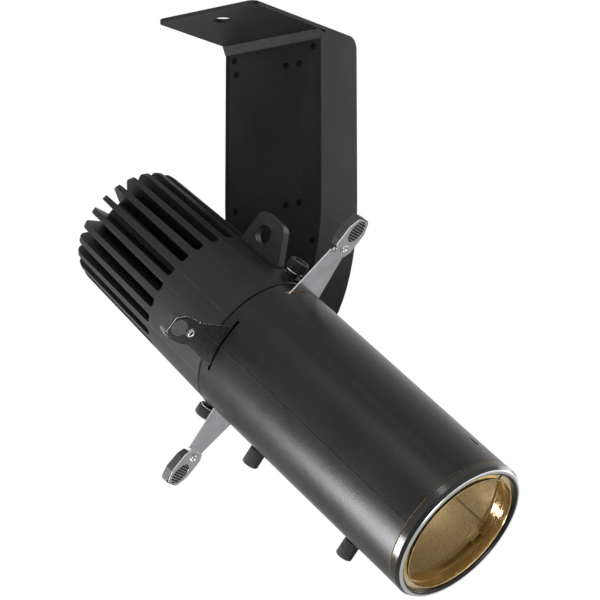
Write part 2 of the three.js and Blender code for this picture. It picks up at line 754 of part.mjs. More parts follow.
function barrelHalf(upper) {
  const far = BARREL_RADIUS + 5;
  const edge = HALF_SHELL_GAP / 2;
  const [low, high] = upper ? [-far, edge] : [-edge, far];
  const away = box(-far, far, yAt(BARREL_LENGTH + 5), yAt(-5), low, high);
  const cutters = [away];
  for (const [, angle, level] of BLADES) cutters.push(bladeSlotCut(angle, level));
  if (upper) {
    cutters.push(accessorySlotCut());
  } else {
    for (const [, , start, end] of CARRIAGES) cutters.push(knobSlotCut(start, end));
    cutters.push(wedgeSector(
      HATCH_HALF_ANGLE,
      HATCH_START,
      HATCH_END,
      BARREL_RADIUS - HATCH_DEPTH,
      BARREL_RADIUS + 3,
      180,
    ));
  }
  return cut(barrelTube(), ...cutters);
}

function accessHatch() {
  const shrink = THREE.MathUtils.radToDeg(HATCH_GAP / BARREL_RADIUS);
  const bottom = BARREL_RADIUS - HATCH_DEPTH + SEAT_GAP + FACET_SAG;
  const full = turned([
    [bottom, HATCH_START + HATCH_GAP],
    [BARREL_RADIUS - 0.05, HATCH_START + HATCH_GAP],
    [BARREL_RADIUS - 0.05, HATCH_END - HATCH_GAP],
    [bottom, HATCH_END - HATCH_GAP],
  ]);
  return common(full, wedgeSector(
    HATCH_HALF_ANGLE - shrink,
    HATCH_START - 1,
    HATCH_END + 1,
    BARREL_RADIUS - 6,
    BARREL_RADIUS + 6,
    180,
  ));
}

function gateRear() {
  return turned([
    [GATE_SPIGOT - 3.7, -COLLAR_DEPTH + 1],
    [GATE_SPIGOT, -COLLAR_DEPTH + 1],
    [GATE_SPIGOT, GATE_REAR_FACE],
    [APERTURE_RADIUS, GATE_REAR_FACE],
    [APERTURE_RADIUS, GATE_REAR],
    [GATE_SPIGOT - 3.7, GATE_REAR],
  ], 40);
}

function gateFront() {
  return turned([
    [APERTURE_RADIUS, GATE_FRONT],
    [GATE_SPIGOT, GATE_FRONT],
    [GATE_SPIGOT, GATE_FRONT + 1.4],
    [APERTURE_RADIUS, GATE_FRONT + 1.4],
  ], 40);
}

const LINER_OUTER = BARREL_BORE - SEAT_GAP * 4;
const LINER_INNER = LINER_OUTER - 0.9;
const LINER_START = GATE_FRONT + 2;
const LINER_END = BARREL_LENGTH - 8.8;

function linerHalf(upper) {
  const far = BARREL_RADIUS + 5;
  const edge = 0.7;
  const tube = turned([
    [LINER_INNER, LINER_START],
    [LINER_OUTER, LINER_START],
    [LINER_OUTER, LINER_END],
    [LINER_INNER, LINER_END],
  ], 48);
  if (upper) return cut(tube, box(-far, far, yAt(BARREL_LENGTH + 5), yAt(-5), -far, edge));
  const slots = CARRIAGES.map(([, , start, end]) => knobSlotCut(start, end));
  return cut(tube, box(-far, far, yAt(BARREL_LENGTH + 5), yAt(-5), -edge, far), ...slots);
}

const MOUTH_RADIUS = BARREL_RADIUS - 8.7;
const BEZEL_SEAT = BARREL_RADIUS - 5.4;
const BEZEL_SKIRT = 4;

function frontBezel() {
  const start = BARREL_LENGTH;
  const face = start + BEZEL_LENGTH;
  return turned([
    [MOUTH_RADIUS, face - 1],
    [MOUTH_RADIUS + 0.6, face - 0.6],
    [MOUTH_RADIUS + 0.6, face - 3],
    [BARREL_RADIUS - 5, face - 3],
    [BARREL_RADIUS - 5, face - 0.6],
    [BARREL_RADIUS - 4.2, face],
    [BARREL_RADIUS - 1.6, face],
    [BARREL_RADIUS - 0.5, face - 1],
    [BARREL_RADIUS + 0.2, face - 3],
    [BARREL_RADIUS + 0.2, start],
    [GATE_SPIGOT, start],
    [GATE_SPIGOT, start - BEZEL_SKIRT],
    [BEZEL_SEAT, start - BEZEL_SKIRT],
    [BEZEL_SEAT, start],
    [MOUTH_RADIUS, start],
  ], 56);
}

// The split ring that holds a filter in the bezel.
const SNAP_RING_INNER = BARREL_RADIUS - 8;
const SNAP_RING_START = BARREL_LENGTH - BEZEL_SKIRT - 0.7;
const SNAP_RING_GAP = 8;
const SNAP_RING_CLOCK = 102;

function lensDisc(radius, middle, edgeHalf, bulge, sides) {
  const profile = [[0, middle - edgeHalf - bulge]];
  const steps = 3;
  for (let k = 1; k <= steps; k += 1) {
    const share = k / steps;
    profile.push([radius * share, middle - edgeHalf - bulge * (1 - share * share)]);
  }
  for (let k = steps; k >= 1; k -= 1) {
    const share = k / steps;
    profile.push([radius * share, middle + edgeHalf + bulge * (1 - share * share)]);
  }
  profile.push([0, middle + edgeHalf + bulge]);
  return turned(profile, sides);
}

function snapRing() {
  const ring = turned([
    [SNAP_RING_INNER, SNAP_RING_START],
    [BEZEL_SEAT - 0.2, SNAP_RING_START],
    [BEZEL_SEAT - 0.2, BARREL_LENGTH - 0.2],
    [SNAP_RING_INNER, BARREL_LENGTH - 0.2],
  ], 48);
  const opening = box(-SNAP_RING_GAP / 2, SNAP_RING_GAP / 2, -8, 8, SNAP_RING_INNER - 4, BEZEL_SEAT + 4);
  return cut(ring, radial(opening, SNAP_RING_START, SNAP_RING_CLOCK));
}

// ---------------------------------------------------------------- lens carriages
const CARRIAGE_RADIUS = LINER_INNER - FIT_GAP;
const CARRIAGE_LENS_RADIUS = BARREL_RADIUS - 13;
const KNOB_STUD = 2.4;
const KNOB_BASE = -(BARREL_RADIUS + 0.9);
const KNOB_TIP = -(BARREL_RADIUS + 14.4);

function carriageRing(ahead) {
  const ring = turned([
    [CARRIAGE_LENS_RADIUS + FIT_GAP, ahead - 2],
    [CARRIAGE_LENS_RADIUS + 1.5, ahead - CARRIAGE_HALF],
    [CARRIAGE_RADIUS, ahead - CARRIAGE_HALF],
    [CARRIAGE_RADIUS, ahead + CARRIAGE_HALF],
    [CARRIAGE_LENS_RADIUS + 1.5, ahead + CARRIAGE_HALF],
    [CARRIAGE_LENS_RADIUS + FIT_GAP, ahead + 2],
  ], 36);
  const hole = rodAlongZ(KNOB_STUD + 0.1, -CARRIAGE_RADIUS - 3, -CARRIAGE_LENS_RADIUS - 2.4, 20);
  return cut(ring, hole.translate(0, yAt(ahead), 0));
}

function carriageLens(ahead, bulge) {
  return lensDisc(CARRIAGE_LENS_RADIUS, ahead, 1.8, bulge, 36);
}

function focusKnob(ahead) {
  const stud = rodAlongZ(KNOB_STUD, KNOB_BASE - 1, -CARRIAGE_LENS_RADIUS - 3, 20);
  const grip = extrude(ridgedPoints(5.8, 5.35, 18), KNOB_BASE - KNOB_TIP).translate(0, 0, KNOB_TIP);
  return join(stud, grip).translate(0, yAt(ahead), 0);
}

// ---------------------------------------------------------------- shutter blades
const BLADE_INNER = APERTURE_RADIUS + 2;
const BLADE_NECK = BARREL_RADIUS + 30;
const GRIP_START = BARREL_RADIUS + 31.5;
const GRIP_END = BARREL_RADIUS + 60.5;
const RIVET_AT = BARREL_RADIUS + 37.5;
const WINDOW_AT = BARREL_RADIUS + 51;

function windowPoints(grow, sides = 18) {
  return Array.from({ length: sides }, (_, k) => {
    const angle = (TAU * k) / sides;
    return [(5.9 + grow) * Math.cos(angle), WINDOW_AT + (8 + grow) * Math.sin(angle)];
  });
}

// Built on the clock's top: x across the blade, z outwards, y = 0 at the blade's middle plane.
function bladeSheet() {
  const sheet = plateAcrossY([
    [-BLADE_INNER_HALF, BLADE_INNER],
    [BLADE_INNER_HALF, BLADE_INNER],
    [BLADE_RIM_HALF, BARREL_RADIUS],
    [BLADE_NECK_HALF, BLADE_NECK],
    [BLADE_NECK_HALF, BLADE_NECK + 3],
    [-BLADE_NECK_HALF, BLADE_NECK + 3],
    [-BLADE_NECK_HALF, BLADE_NECK],
    [-BLADE_RIM_HALF, BARREL_RADIUS],
  ], BLADE_THICKNESS, -BLADE_THICKNESS / 2);
  const joggle = plateAcrossY([
    [-6, BLADE_NECK + 1],
    [6, BLADE_NECK + 1],
    [6, BLADE_NECK + 5],
    [-6, BLADE_NECK + 5],
  ], 2.2, -1.8);
  const face = plateAcrossY(roundedPoints([
    [-6, GRIP_START + 1],
    [6, GRIP_START + 1],
    [9, GRIP_START + 6, 2],
    [9.2, GRIP_END - 9, 3],
    [5.5, GRIP_END - 0.8, 2],
    [-5.5, GRIP_END - 0.8, 2],
    [-9.2, GRIP_END - 9, 3],
    [-9, GRIP_START + 6, 2],
  ], 3), 0.9, -2.7);
  const opening = plateAcrossY(windowPoints(0), 4, -4);
  const rivetHole = plateAcrossY(discPoints(2.1, 16).map(([x, z]) => [x, z + RIVET_AT]), 4, -4);
  return cut(join(sheet, joggle, cut(face, opening)), rivetHole);
}

function bladeGrip() {
  const body = plateAcrossY(roundedPoints([
    [-6.5, GRIP_START + 4.2, 1],
    [6.5, GRIP_START + 4.2, 1],
    [9.2, GRIP_START + 9, 2],
    [9.6, GRIP_END - 9, 3],
    [6, GRIP_END, 2.5],
    [-6, GRIP_END, 2.5],
    [-9.6, GRIP_END - 9, 3],
    [-9.2, GRIP_START + 9, 2],
  ], 3), 5.4, -1.75, 0.5);
  const shade = plateAcrossY(windowPoints(-0.4), 1.4, -3);
  const rivetHole = plateAcrossY(discPoints(2.1, 16).map(([x, z]) => [x, z + RIVET_AT]), 12, -4);
  return cut(join(body, shade), rivetHole);
}

function bladeRivet() {
  const shank = plateAcrossY(discPoints(2, 12), 5.8, -3);
  const head = plateAcrossY(discPoints(3.1, 14), 0.9, -3.65, 0.3);
  return join(shank, head).translate(0, 0, RIVET_AT);
}

function placeBlade(geometry, angle, level, swivel) {
  geometry.translate(0, 0, -BARREL_RADIUS);
  geometry.rotateY(THREE.MathUtils.degToRad(swivel));
  geometry.translate(0, 0, BARREL_RADIUS);
  return radial(geometry, bladeAhead(level), angle);
}

// ---------------------------------------------------------------- assembly
add('yoke_bracket', yokeBracket(), 'armPaint');
add('driver_cover', driverCover(), 'armPaint');
COVER_SCREWS.forEach(([y, drop], index) => {
  add(`cover_screw_${index + 1}`, coverScrew(y, drop), 'blackSteel');
});
add('led_driver', ledDriver(), 'whitePlastic');
add('terminal_block', terminalBlock(), 'whitePlastic');
add('cable_gland', cableGland(), 'blackPlastic');
add('pivot_tube', pivotTube(), 'brightSteel');
add('tilt_knob', tiltKnob(), 'blackPlastic');

addToHead('rear_housing', rearHousing(), 'housingPaint');
addToHead('pivot_shaft', pivotShaft(), 'brightSteel');
addToHead('pivot_washer', pivotWasher(), 'blackPlastic');
addToHead('led_board', ledBoard(), 'whiteBoard');
addToHead('led_chip', ledChip(), 'phosphor');
addToHead('cob_holder', cobHolder(), 'whitePlastic');
addToHead('reflector', reflector(), 'mirror');
addToHead('lock_screw_top', lockScrew(0), 'blackSteel');
addToHead('lock_screw_bottom', lockScrew(180), 'blackSteel');

addToHead('barrel_upper', barrelHalf(true), 'barrelPaint');
addToHead('barrel_lower', barrelHalf(false), 'barrelPaint');
addToHead('access_hatch', accessHatch(), 'barrelPaint');
addToHead('gate_rear', gateRear(), 'blackSteel');
addToHead('gate_front', gateFront(), 'blackSteel');
addToHead('liner_upper', linerHalf(true), 'gold');
addToHead('liner_lower', linerHalf(false), 'gold');
addToHead('front_bezel', frontBezel(), 'chrome');
addToHead('snap_ring', snapRing(), 'gold');

CARRIAGES.forEach(([name, ahead], index) => {
  addToHead(`carriage_${name}`, carriageRing(ahead), 'blackPlastic');
  addToHead(`lens_${name}`, carriageLens(ahead, index === 0 ? 6.5 : 7.5), 'glass');
  addToHead(`focus_knob_${name}`, focusKnob(ahead), 'blackSteel');
});

for (const [name, angle, level, swivel] of BLADES) {
  addToHead(`blade_${name}`, placeBlade(bladeSheet(), angle, level, swivel), 'brightSteel');
  addToHead(`grip_${name}`, placeBlade(bladeGrip(), angle, level, swivel), 'blackPlastic');
  addToHead(`rivet_${name}`, placeBlade(bladeRivet(), angle, level, swivel), 'brightSteel');
}

export default group;
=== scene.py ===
"""Looks of an ellipsoidal spotlight: smooth stand-ins, procedural finishes, studio and camera."""
import json
import math

import bmesh
import bpy
from mathutils import Matrix, Vector

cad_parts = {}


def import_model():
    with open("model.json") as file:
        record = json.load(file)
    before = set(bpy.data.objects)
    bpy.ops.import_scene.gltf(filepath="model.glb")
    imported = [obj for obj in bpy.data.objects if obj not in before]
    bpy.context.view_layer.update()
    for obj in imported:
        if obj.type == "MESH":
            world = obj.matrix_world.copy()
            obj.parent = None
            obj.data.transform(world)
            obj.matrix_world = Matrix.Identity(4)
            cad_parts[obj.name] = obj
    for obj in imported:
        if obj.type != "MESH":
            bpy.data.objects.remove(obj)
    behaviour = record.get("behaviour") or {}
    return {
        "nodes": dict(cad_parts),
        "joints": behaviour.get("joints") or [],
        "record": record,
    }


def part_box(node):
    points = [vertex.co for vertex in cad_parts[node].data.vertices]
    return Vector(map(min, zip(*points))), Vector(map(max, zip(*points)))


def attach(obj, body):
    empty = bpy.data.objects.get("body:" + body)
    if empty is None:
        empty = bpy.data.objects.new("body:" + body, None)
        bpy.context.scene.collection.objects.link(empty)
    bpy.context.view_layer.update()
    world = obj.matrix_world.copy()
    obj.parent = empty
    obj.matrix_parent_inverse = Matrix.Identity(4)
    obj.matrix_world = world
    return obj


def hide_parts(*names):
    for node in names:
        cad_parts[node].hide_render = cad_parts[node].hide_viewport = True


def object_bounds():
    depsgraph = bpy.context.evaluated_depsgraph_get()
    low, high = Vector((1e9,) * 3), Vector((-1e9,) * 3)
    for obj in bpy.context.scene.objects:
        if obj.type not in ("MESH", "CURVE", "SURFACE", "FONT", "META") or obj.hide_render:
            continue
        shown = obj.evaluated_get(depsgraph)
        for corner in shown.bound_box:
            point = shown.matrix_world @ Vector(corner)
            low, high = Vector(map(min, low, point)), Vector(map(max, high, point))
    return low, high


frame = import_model()
CAD_LOW, CAD_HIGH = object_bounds()

# ---------------------------------------------------------------- frame of the head
# Head coordinates, in millimetres: x to the side, y up, z ahead of the seam along the beam.
MM = 0.001
JOINTS = {joint["name"]: joint for joint in frame["joints"]}
BEAM = Vector(JOINTS["barrel_rotate"]["axis"]).normalized()
SEAM = Vector(JOINTS["barrel_rotate"]["pos_m"])
PIVOT = Vector(JOINTS["head_tilt"]["pos_m"])
SIDE = Vector(JOINTS["head_tilt"]["axis"]).normalized()
UP = BEAM.cross(SIDE)
HEAD = Matrix.Translation(SEAM) @ Matrix((SIDE, UP, BEAM)).transposed().to_4x4() @ Matrix.Scale(MM, 4)
WORLD = Matrix.Scale(MM, 4)
PIVOT_AHEAD = (HEAD.inverted() @ PIVOT).z
BODY_OF = {node: body for body, nodes in frame["record"]["behaviour"]["bodies"].items() for node in nodes}


def span(node, matrix=HEAD):
    """Lowest corner, highest corner and largest radius of a CAD node in head coordinates."""
    back = matrix.inverted()
    points = [back @ vertex.co for vertex in frame["nodes"][node].data.vertices]
    low = Vector([min(point[axis] for point in points) for axis in range(3)])
    high = Vector([max(point[axis] for point in points) for axis in range(3)])
    radius = max(math.hypot(point.x, point.y) for point in points)
    return low, high, radius


BARREL_LOW, BARREL_HIGH, BARREL_RADIUS = span("barrel_upper")
LINER_LOW, LINER_HIGH, LINER_RADIUS = span("liner_upper")
HOUSING_REAR = span("rear_housing")[0].z
BARREL_WALL = 3.5
BARREL_BORE = BARREL_RADIUS - BARREL_WALL
JOINT_GAP = 0.3
ROUND = 192


# From a piece about z to one that points outwards at the head's bottom or top.
RADIAL_DOWN = Matrix(((1, 0, 0, 0), (0, 0, -1, 0), (0, 1, 0, 0), (0, 0, 0, 1)))
RADIAL_UP = Matrix(((1, 0, 0, 0), (0, 0, 1, 0), (0, -1, 0, 0), (0, 0, 0, 1)))


def clock(angle):
    """Turns a piece made at the top of the head to its clock angle, in degrees."""
    return Matrix.Rotation(math.radians(-angle), 4, "Z")


# ---------------------------------------------------------------- shapes
def arc(centre_a, centre_b, radius, start, end, steps=6):
    """Points of an arc, angles in degrees."""
    turns = [math.radians(start + (end - start) * k / steps) for k in range(steps + 1)]
    return [(centre_a + radius * math.cos(t), centre_b + radius * math.sin(t)) for t in turns]


def rounded(corners, steps=6):
    """An outline whose corners (x, y, radius) are rounded."""
    points = []
    for index, (x, y, radius) in enumerate(corners):
        here = Vector((x, y))
        if radius == 0:
            points.append((x, y))
            continue
        before = (Vector(corners[index - 1][:2]) - here).normalized()
        after = (Vector(corners[(index + 1) % len(corners)][:2]) - here).normalized()
        half = before.angle(after) / 2
        start = here + before * radius / math.tan(half)
        end = here + after * radius / math.tan(half)
        centre = here + (before + after).normalized() * radius / math.sin(half)
        first, last = start - centre, end - centre
        sweep = first.angle_signed(last)
        for k in range(steps + 1):
            turn = Matrix.Rotation(-sweep * k / steps, 2)
            points.append(tuple(centre + turn @ first))
    return points


def disc(radius, count=48):
    """Points of a circle."""
    return [(radius * math.cos(math.tau * k / count), radius * math.sin(math.tau * k / count))
            for k in range(count)]


def prism(outline, low, high, bm=None):
    """A closed prism: outline in x and y, from low to high along z."""
    bm = bm or bmesh.new()
    bottom = [bm.verts.new((x, y, low)) for x, y in outline]
    top = [bm.verts.new((x, y, high)) for x, y in outline]
    bm.faces.new(list(reversed(bottom)))
    bm.faces.new(top)
    for k in range(len(outline)):
        after = (k + 1) % len(outline)
        bm.faces.new((bottom[k], bottom[after], top[after], top[k]))
    return bm


def block(low, high):
    """A box cutter from corner to corner."""
    return prism([(low[0], low[1]), (high[0], low[1]), (high[0], high[1]), (low[0], high[1])],
                 low[2], high[2])


def lathe(profile, start=0.0, end=360.0, segments=ROUND):
    """A closed profile of (radius, z) swept about z between two clock angles."""
    bm = bmesh.new()
    whole = end - start >= 360.0
    rings = segments if whole else segments + 1
    columns = []
    for k in range(rings):
        angle = math.radians(start + (end - start) * k / segments)
        columns.append([
            bm.verts.new((r * math.sin(angle), r * math.cos(angle), z)) for r, z in profile
        ])
    for k in range(segments):
        left, right = columns[k], columns[(k + 1) % rings]
        for i in range(len(profile)):
            j = (i + 1) % len(profile)
            if profile[i][0] == 0 and profile[j][0] == 0:
                continue
            bm.faces.new((left[i], left[j], right[j], right[i]))
    if not whole:
        bm.faces.new(columns[0])
        bm.faces.new(list(reversed(columns[-1])))
    bmesh.ops.remove_doubles(bm, verts=bm.verts, dist=1e-5)
    bmesh.ops.dissolve_degenerate(bm, edges=bm.edges, dist=1e-6)
    return bm


def knurled(radius, low, high, ridges, depth, chamfer):
    """A straight-knurled grip about z, with chamfered ends."""
    bm = bmesh.new()
    levels = [(low, -chamfer), (low + chamfer, 0), (high - chamfer, 0), (high, -chamfer)]
    shares = [(0.0, 0), (0.3, 0), (0.55, -depth), (0.75, -depth)]
    loops = []
    for z, shift in levels:
        loop = []
        for ridge in range(ridges):
            for share, drop in shares:
                angle = math.tau * (ridge + share) / ridges
                r = radius + shift + (drop if shift == 0 else 0)
                loop.append(bm.verts.new((r * math.cos(angle), r * math.sin(angle), z)))
        loops.append(loop)
    count = len(loops[0])
    for lower, upper in zip(loops, loops[1:]):
        for k in range(count):
            after = (k + 1) % count
            bm.faces.new((lower[k], lower[after], upper[after], upper[k]))
    bm.faces.new(list(reversed(loops[0])))
    bm.faces.new(loops[-1])
    return bm


def moved(bm, matrix):
    """The same shape, moved."""
    bm.transform(matrix)
    return bm


def solid(name, bm, matrix=None):
    """A mesh object from a bmesh, placed in the part's frame."""
    if matrix is not None:
        bm.transform(matrix)
    bmesh.ops.recalc_face_normals(bm, faces=bm.faces)
    mesh = bpy.data.meshes.new(name)
    bm.to_mesh(mesh)
    bm.free()
    made = bpy.data.objects.new(name, mesh)
    bpy.context.scene.collection.objects.link(made)
    return made


def boolean(target, others, operation="DIFFERENCE"):
    """Cuts others out of target, or joins them to it, and removes them."""
    for other in others:
        step = target.modifiers.new("step", "BOOLEAN")
        step.operation = operation
        step.solver = "EXACT"
        step.object = other
    settle(target)
    for other in others:
        bpy.data.objects.remove(other)
    return target


def settle(target):
    """Applies the modifiers of a piece."""
    depsgraph = bpy.context.evaluated_depsgraph_get()
    mesh = bpy.data.meshes.new_from_object(target.evaluated_get(depsgraph))
    target.modifiers.clear()
    target.data = mesh


def soften(target, width, angle=35, segments=2):
    """Rounds a piece's sharp edges and smooths its shading."""
    clean = bmesh.new()
    clean.from_mesh(target.data)
    bmesh.ops.remove_doubles(clean, verts=clean.verts, dist=2e-6)
    bmesh.ops.dissolve_limit(clean, angle_limit=math.radians(0.5), verts=clean.verts, edges=clean.edges)
    clean.to_mesh(target.data)
    clean.free()
    target.data.polygons.foreach_set("use_smooth", [True] * len(target.data.polygons))
    target.data.set_sharp_from_angle(angle=math.radians(angle))
    if width > 0:
        bevel = target.modifiers.new("edges", "BEVEL")
        bevel.width = width * MM
        bevel.segments = segments
        bevel.limit_method = "ANGLE"
        bevel.angle_limit = math.radians(angle)
        bevel.miter_outer = "MITER_ARC"
        normals = target.modifiers.new("normals", "WEIGHTED_NORMAL")
        normals.mode = "FACE_AREA"
        normals.weight = 100
        normals.keep_sharp = True
    return target


def piece(target, material, *nodes):
    """Gives a piece its finish and its body, and hides the CAD nodes it stands for."""
    target.data.materials.clear()
    for each in material if isinstance(material, list) else [material]:
        target.data.materials.append(each)
    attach(target, BODY_OF[nodes[0]])
    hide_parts(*nodes)
    return target


def paint(target, choose):
    """Gives each face the material index that choose picks for its centre in head coordinates."""
    back = HEAD.inverted()
    for polygon in target.data.polygons:
        polygon.material_index = choose(back @ polygon.center)


def refined(node, name, material, width=0.3, segments=2):
    """A CAD node's own shape with its edges rounded."""
    bm = bmesh.new()
    bm.from_mesh(frame["nodes"][node].data)
    bmesh.ops.remove_doubles(bm, verts=bm.verts, dist=2e-6)
    made = soften(solid(name, bm), width, segments=segments)
    return piece(made, material, node)


# ---------------------------------------------------------------- materials
class Look:
    """A procedural material while it is put together. Lengths are in metres."""

    # Places of the colour sockets on a Mix node.
    MIX_FIRST, MIX_SECOND, MIX_RESULT = 6, 7, 2

    def __init__(self, name, **sockets):
        self.material = bpy.data.materials.new(name)
        self.material.use_nodes = True
        self.tree = self.material.node_tree
        self.shader = self.tree.nodes["Principled BSDF"]
        self.place = self.add("ShaderNodeTexCoord").outputs["Object"]
        for socket, value in sockets.items():
            self.shader.inputs[socket.replace("_", " ")].default_value = value

    def add(self, kind, **settings):
        made = self.tree.nodes.new(kind)
        for key, value in settings.items():
            setattr(made, key, value)
        return made

    def feed(self, value, socket):
        if isinstance(value, bpy.types.NodeSocket):
            self.tree.links.new(value, socket)
        else:
            socket.default_value = value

    def stretched(self, factors):
        mapping = self.add("ShaderNodeMapping")
        self.feed(self.place, mapping.inputs["Vector"])
        mapping.inputs["Scale"].default_value = factors
        return mapping.outputs["Vector"]

    def noise(self, size, detail=3.0, place=None):
        """Clouds whose features are about size metres."""
        made = self.add("ShaderNodeTexNoise")
        self.feed(place or self.place, made.inputs["Vector"])
        made.inputs["Scale"].default_value = 1 / size
        made.inputs["Detail"].default_value = detail
        return made.outputs["Fac"]

    def cells(self, size, feature="F1"):
        made = self.add("ShaderNodeTexVoronoi", feature=feature)
        self.feed(self.place, made.inputs["Vector"])
        made.inputs["Scale"].default_value = 1 / size
        return made.outputs["Distance"]

    def span(self, value, low, high, to_low, to_high):
        made = self.add("ShaderNodeMapRange")
        self.feed(value, made.inputs["Value"])
        for socket, number in zip(("From Min", "From Max", "To Min", "To Max"),
                                  (low, high, to_low, to_high)):
            made.inputs[socket].default_value = number
        return made.outputs["Result"]

    def blend(self, share, first, second):
        """A colour mix: first where share is 0, second where it is 1."""
        made = self.add("ShaderNodeMix", data_type="RGBA")
        self.feed(share, made.inputs["Factor"])
        self.feed(first, made.inputs[Look.MIX_FIRST])
        self.feed(second, made.inputs[Look.MIX_SECOND])
        return made.outputs[Look.MIX_RESULT]

    def product(self, first, second):
        made = self.add("ShaderNodeMath", operation="MULTIPLY")
        self.feed(first, made.inputs[0])
        self.feed(second, made.inputs[1])
        return made.outputs[0]

    def total(self, first, second):
        made = self.add("ShaderNodeMath", operation="ADD")
        self.feed(first, made.inputs[0])
        self.feed(second, made.inputs[1])
        return made.outputs[0]

    def edges(self, low=0.52, high=0.6):
        """1 on convex edges, 0 elsewhere."""
        return self.span(self.add("ShaderNodeNewGeometry").outputs["Pointiness"], low, high, 0, 1)

    def bump(self, height, distance, strength=1.0, over=None):
        made = self.add("ShaderNodeBump")
        made.inputs["Strength"].default_value = strength
        made.inputs["Distance"].default_value = distance
        self.feed(height, made.inputs["Height"])
        if over is not None:
            self.feed(over, made.inputs["Normal"])
        return made.outputs["Normal"]

    def finish(self, colour=None, rough=None, normal=None):
        for value, socket in ((colour, "Base Color"), (rough, "Roughness"), (normal, "Normal")):
            if value is not None:
                self.feed(value, self.shader.inputs[socket])
        return self.material


def rgb(red, green, blue):
    """An opaque colour."""
    return (red, green, blue, 1.0)


def grey(level, blue=1.03):
    """A near-neutral colour."""
    return rgb(level, level, level * blue)


def powder_coat(name, level, rough, grain, depth, gloss):
    """Black powder coat: a fine pebbled skin, a little thinner and paler along edges."""
    look = Look(name, Specular_IOR_Level=gloss)
    pebble = look.cells(grain)
    fine = look.noise(grain * 0.6, 2)
    broad = look.noise(0.03, 4)
    base = look.blend(look.span(broad, 0.3, 0.7, 0, 1), grey(level * 0.8), grey(level * 1.25))
    fleck = look.blend(look.span(fine, 0.62, 0.8, 0, 1), base, grey(level * 2.2))
    worn = look.product(look.edges(), look.span(look.noise(0.004), 0.35, 0.65, 0.2, 0.8))
    colour = look.blend(worn, fleck, grey(level * 3.0))
    roughness = look.span(look.total(look.product(fine, 0.6), look.product(broad, 0.4)),
                          0.3, 0.7, rough - 0.06, rough + 0.08)
    skin = look.bump(pebble, depth, 0.8)
    return look.finish(colour, roughness, look.bump(fine, depth * 0.6, 0.6, skin))


def moulded_plastic(name, colour, pale, rough, gloss=0.4):
    """Spark-eroded plastic: fine grain, slight polish on the edges."""
    look = Look(name, Specular_IOR_Level=gloss)
    grain = look.noise(0.0005, 3)
    broad = look.noise(0.012, 3)
    base = look.blend(look.span(broad, 0.3, 0.7, 0, 1), colour, pale)
    worn = look.blend(look.product(look.edges(), 0.5), base, pale)
    roughness = look.span(grain, 0.3, 0.7, rough - 0.08, rough + 0.08)
    return look.finish(worn, roughness, look.bump(grain, 0.00004, 0.7))


def steel(name, level, rough, stretch=(1, 12, 12), scratch=0.00001):
    """Rolled stainless sheet: long faint grain, smudges and hairline scratches."""
    look = Look(name, Metallic=1.0)
    grain = look.noise(0.0009, 4, look.stretched(stretch))
    smudge = look.noise(0.009, 5)
    hairs = look.noise(0.0004, 2, look.stretched((1, 40, 6)))
    base = look.blend(look.span(smudge, 0.3, 0.72, 0, 1), grey(level * 0.88), grey(level * 1.08))
    dark = look.blend(look.span(hairs, 0.66, 0.8, 0, 0.35), base, grey(level * 0.5))
    roughness = look.span(look.total(look.product(smudge, 0.5), look.product(grain, 0.5)),
                          0.3, 0.7, rough - 0.08, rough + 0.1)
    return look.finish(dark, roughness, look.bump(grain, scratch, 0.8))


def polished_ring(name):
    """Turned and polished aluminium with faint lathe rings and handling marks."""
    look = Look(name, Metallic=1.0)
    radius = look.add("ShaderNodeVectorMath", operation="LENGTH")
    local = look.add("ShaderNodeVectorMath", operation="CROSS_PRODUCT")
    offset = look.add("ShaderNodeVectorMath", operation="SUBTRACT")
    look.feed(look.place, offset.inputs[0])
    offset.inputs[1].default_value = SEAM
    look.feed(offset.outputs[0], local.inputs[0])
    local.inputs[1].default_value = BEAM
    look.feed(local.outputs[0], radius.inputs[0])
    rings = look.add("ShaderNodeMath", operation="SINE")
    look.feed(look.product(radius.outputs["Value"], 21000.0), rings.inputs[0])
    smudge = look.noise(0.006, 4)
    base = look.blend(look.span(smudge, 0.3, 0.7, 0, 1), grey(0.72, 1.0), grey(0.86, 1.0))
    roughness = look.span(smudge, 0.3, 0.7, 0.08, 0.17)
    return look.finish(base, roughness, look.bump(rings.outputs[0], 0.000002, 0.5))


def gold_leaf(name):
    """Gold speckled reflector lining: fine bright grains on a darker ground."""
    look = Look(name, Metallic=0.55, Specular_IOR_Level=0.5)
    grain = look.noise(0.0007, 4)
    speck = look.cells(0.0009)
    broad = look.noise(0.02, 3)
    ground = look.blend(look.span(grain, 0.35, 0.65, 0, 1), rgb(0.56, 0.39, 0.17), rgb(0.95, 0.76, 0.43))
    shade = look.blend(look.span(broad, 0.3, 0.7, 0, 0.3), ground, rgb(0.5, 0.34, 0.14))
    bright = look.blend(look.span(speck, 0.12, 0.3, 0.5, 0), shade, rgb(0.98, 0.82, 0.5))
    roughness = look.span(grain, 0.3, 0.7, 0.34, 0.55)
    return look.finish(bright, roughness, look.bump(grain, 0.00012, 0.8))


def bright_gold(name):
    """Gold-toned spring wire and turned edges, with faint draw marks and smudges."""
    look = Look(name, Metallic=1.0)
    smudge = look.noise(0.004, 4)
    drawn = look.noise(0.0005, 3)
    base = look.blend(look.span(smudge, 0.3, 0.7, 0, 1), rgb(0.84, 0.63, 0.30), rgb(0.98, 0.82, 0.52))
    return look.finish(base, look.span(smudge, 0.3, 0.7, 0.12, 0.26), look.bump(drawn, 0.00002, 0.5))


def clear_glass(name):
    """Optical glass with a faint film of dust."""
    look = Look(name, Transmission_Weight=1.0, IOR=1.48)
    dust = look.noise(0.004, 6)
    tint = look.blend(look.span(dust, 0.4, 0.8, 0, 1), rgb(0.97, 0.985, 0.98), rgb(0.93, 0.95, 0.94))
    roughness = look.span(dust, 0.55, 0.85, 0.0, 0.05)
    return look.finish(tint, roughness, look.bump(dust, 0.000002, 0.3))


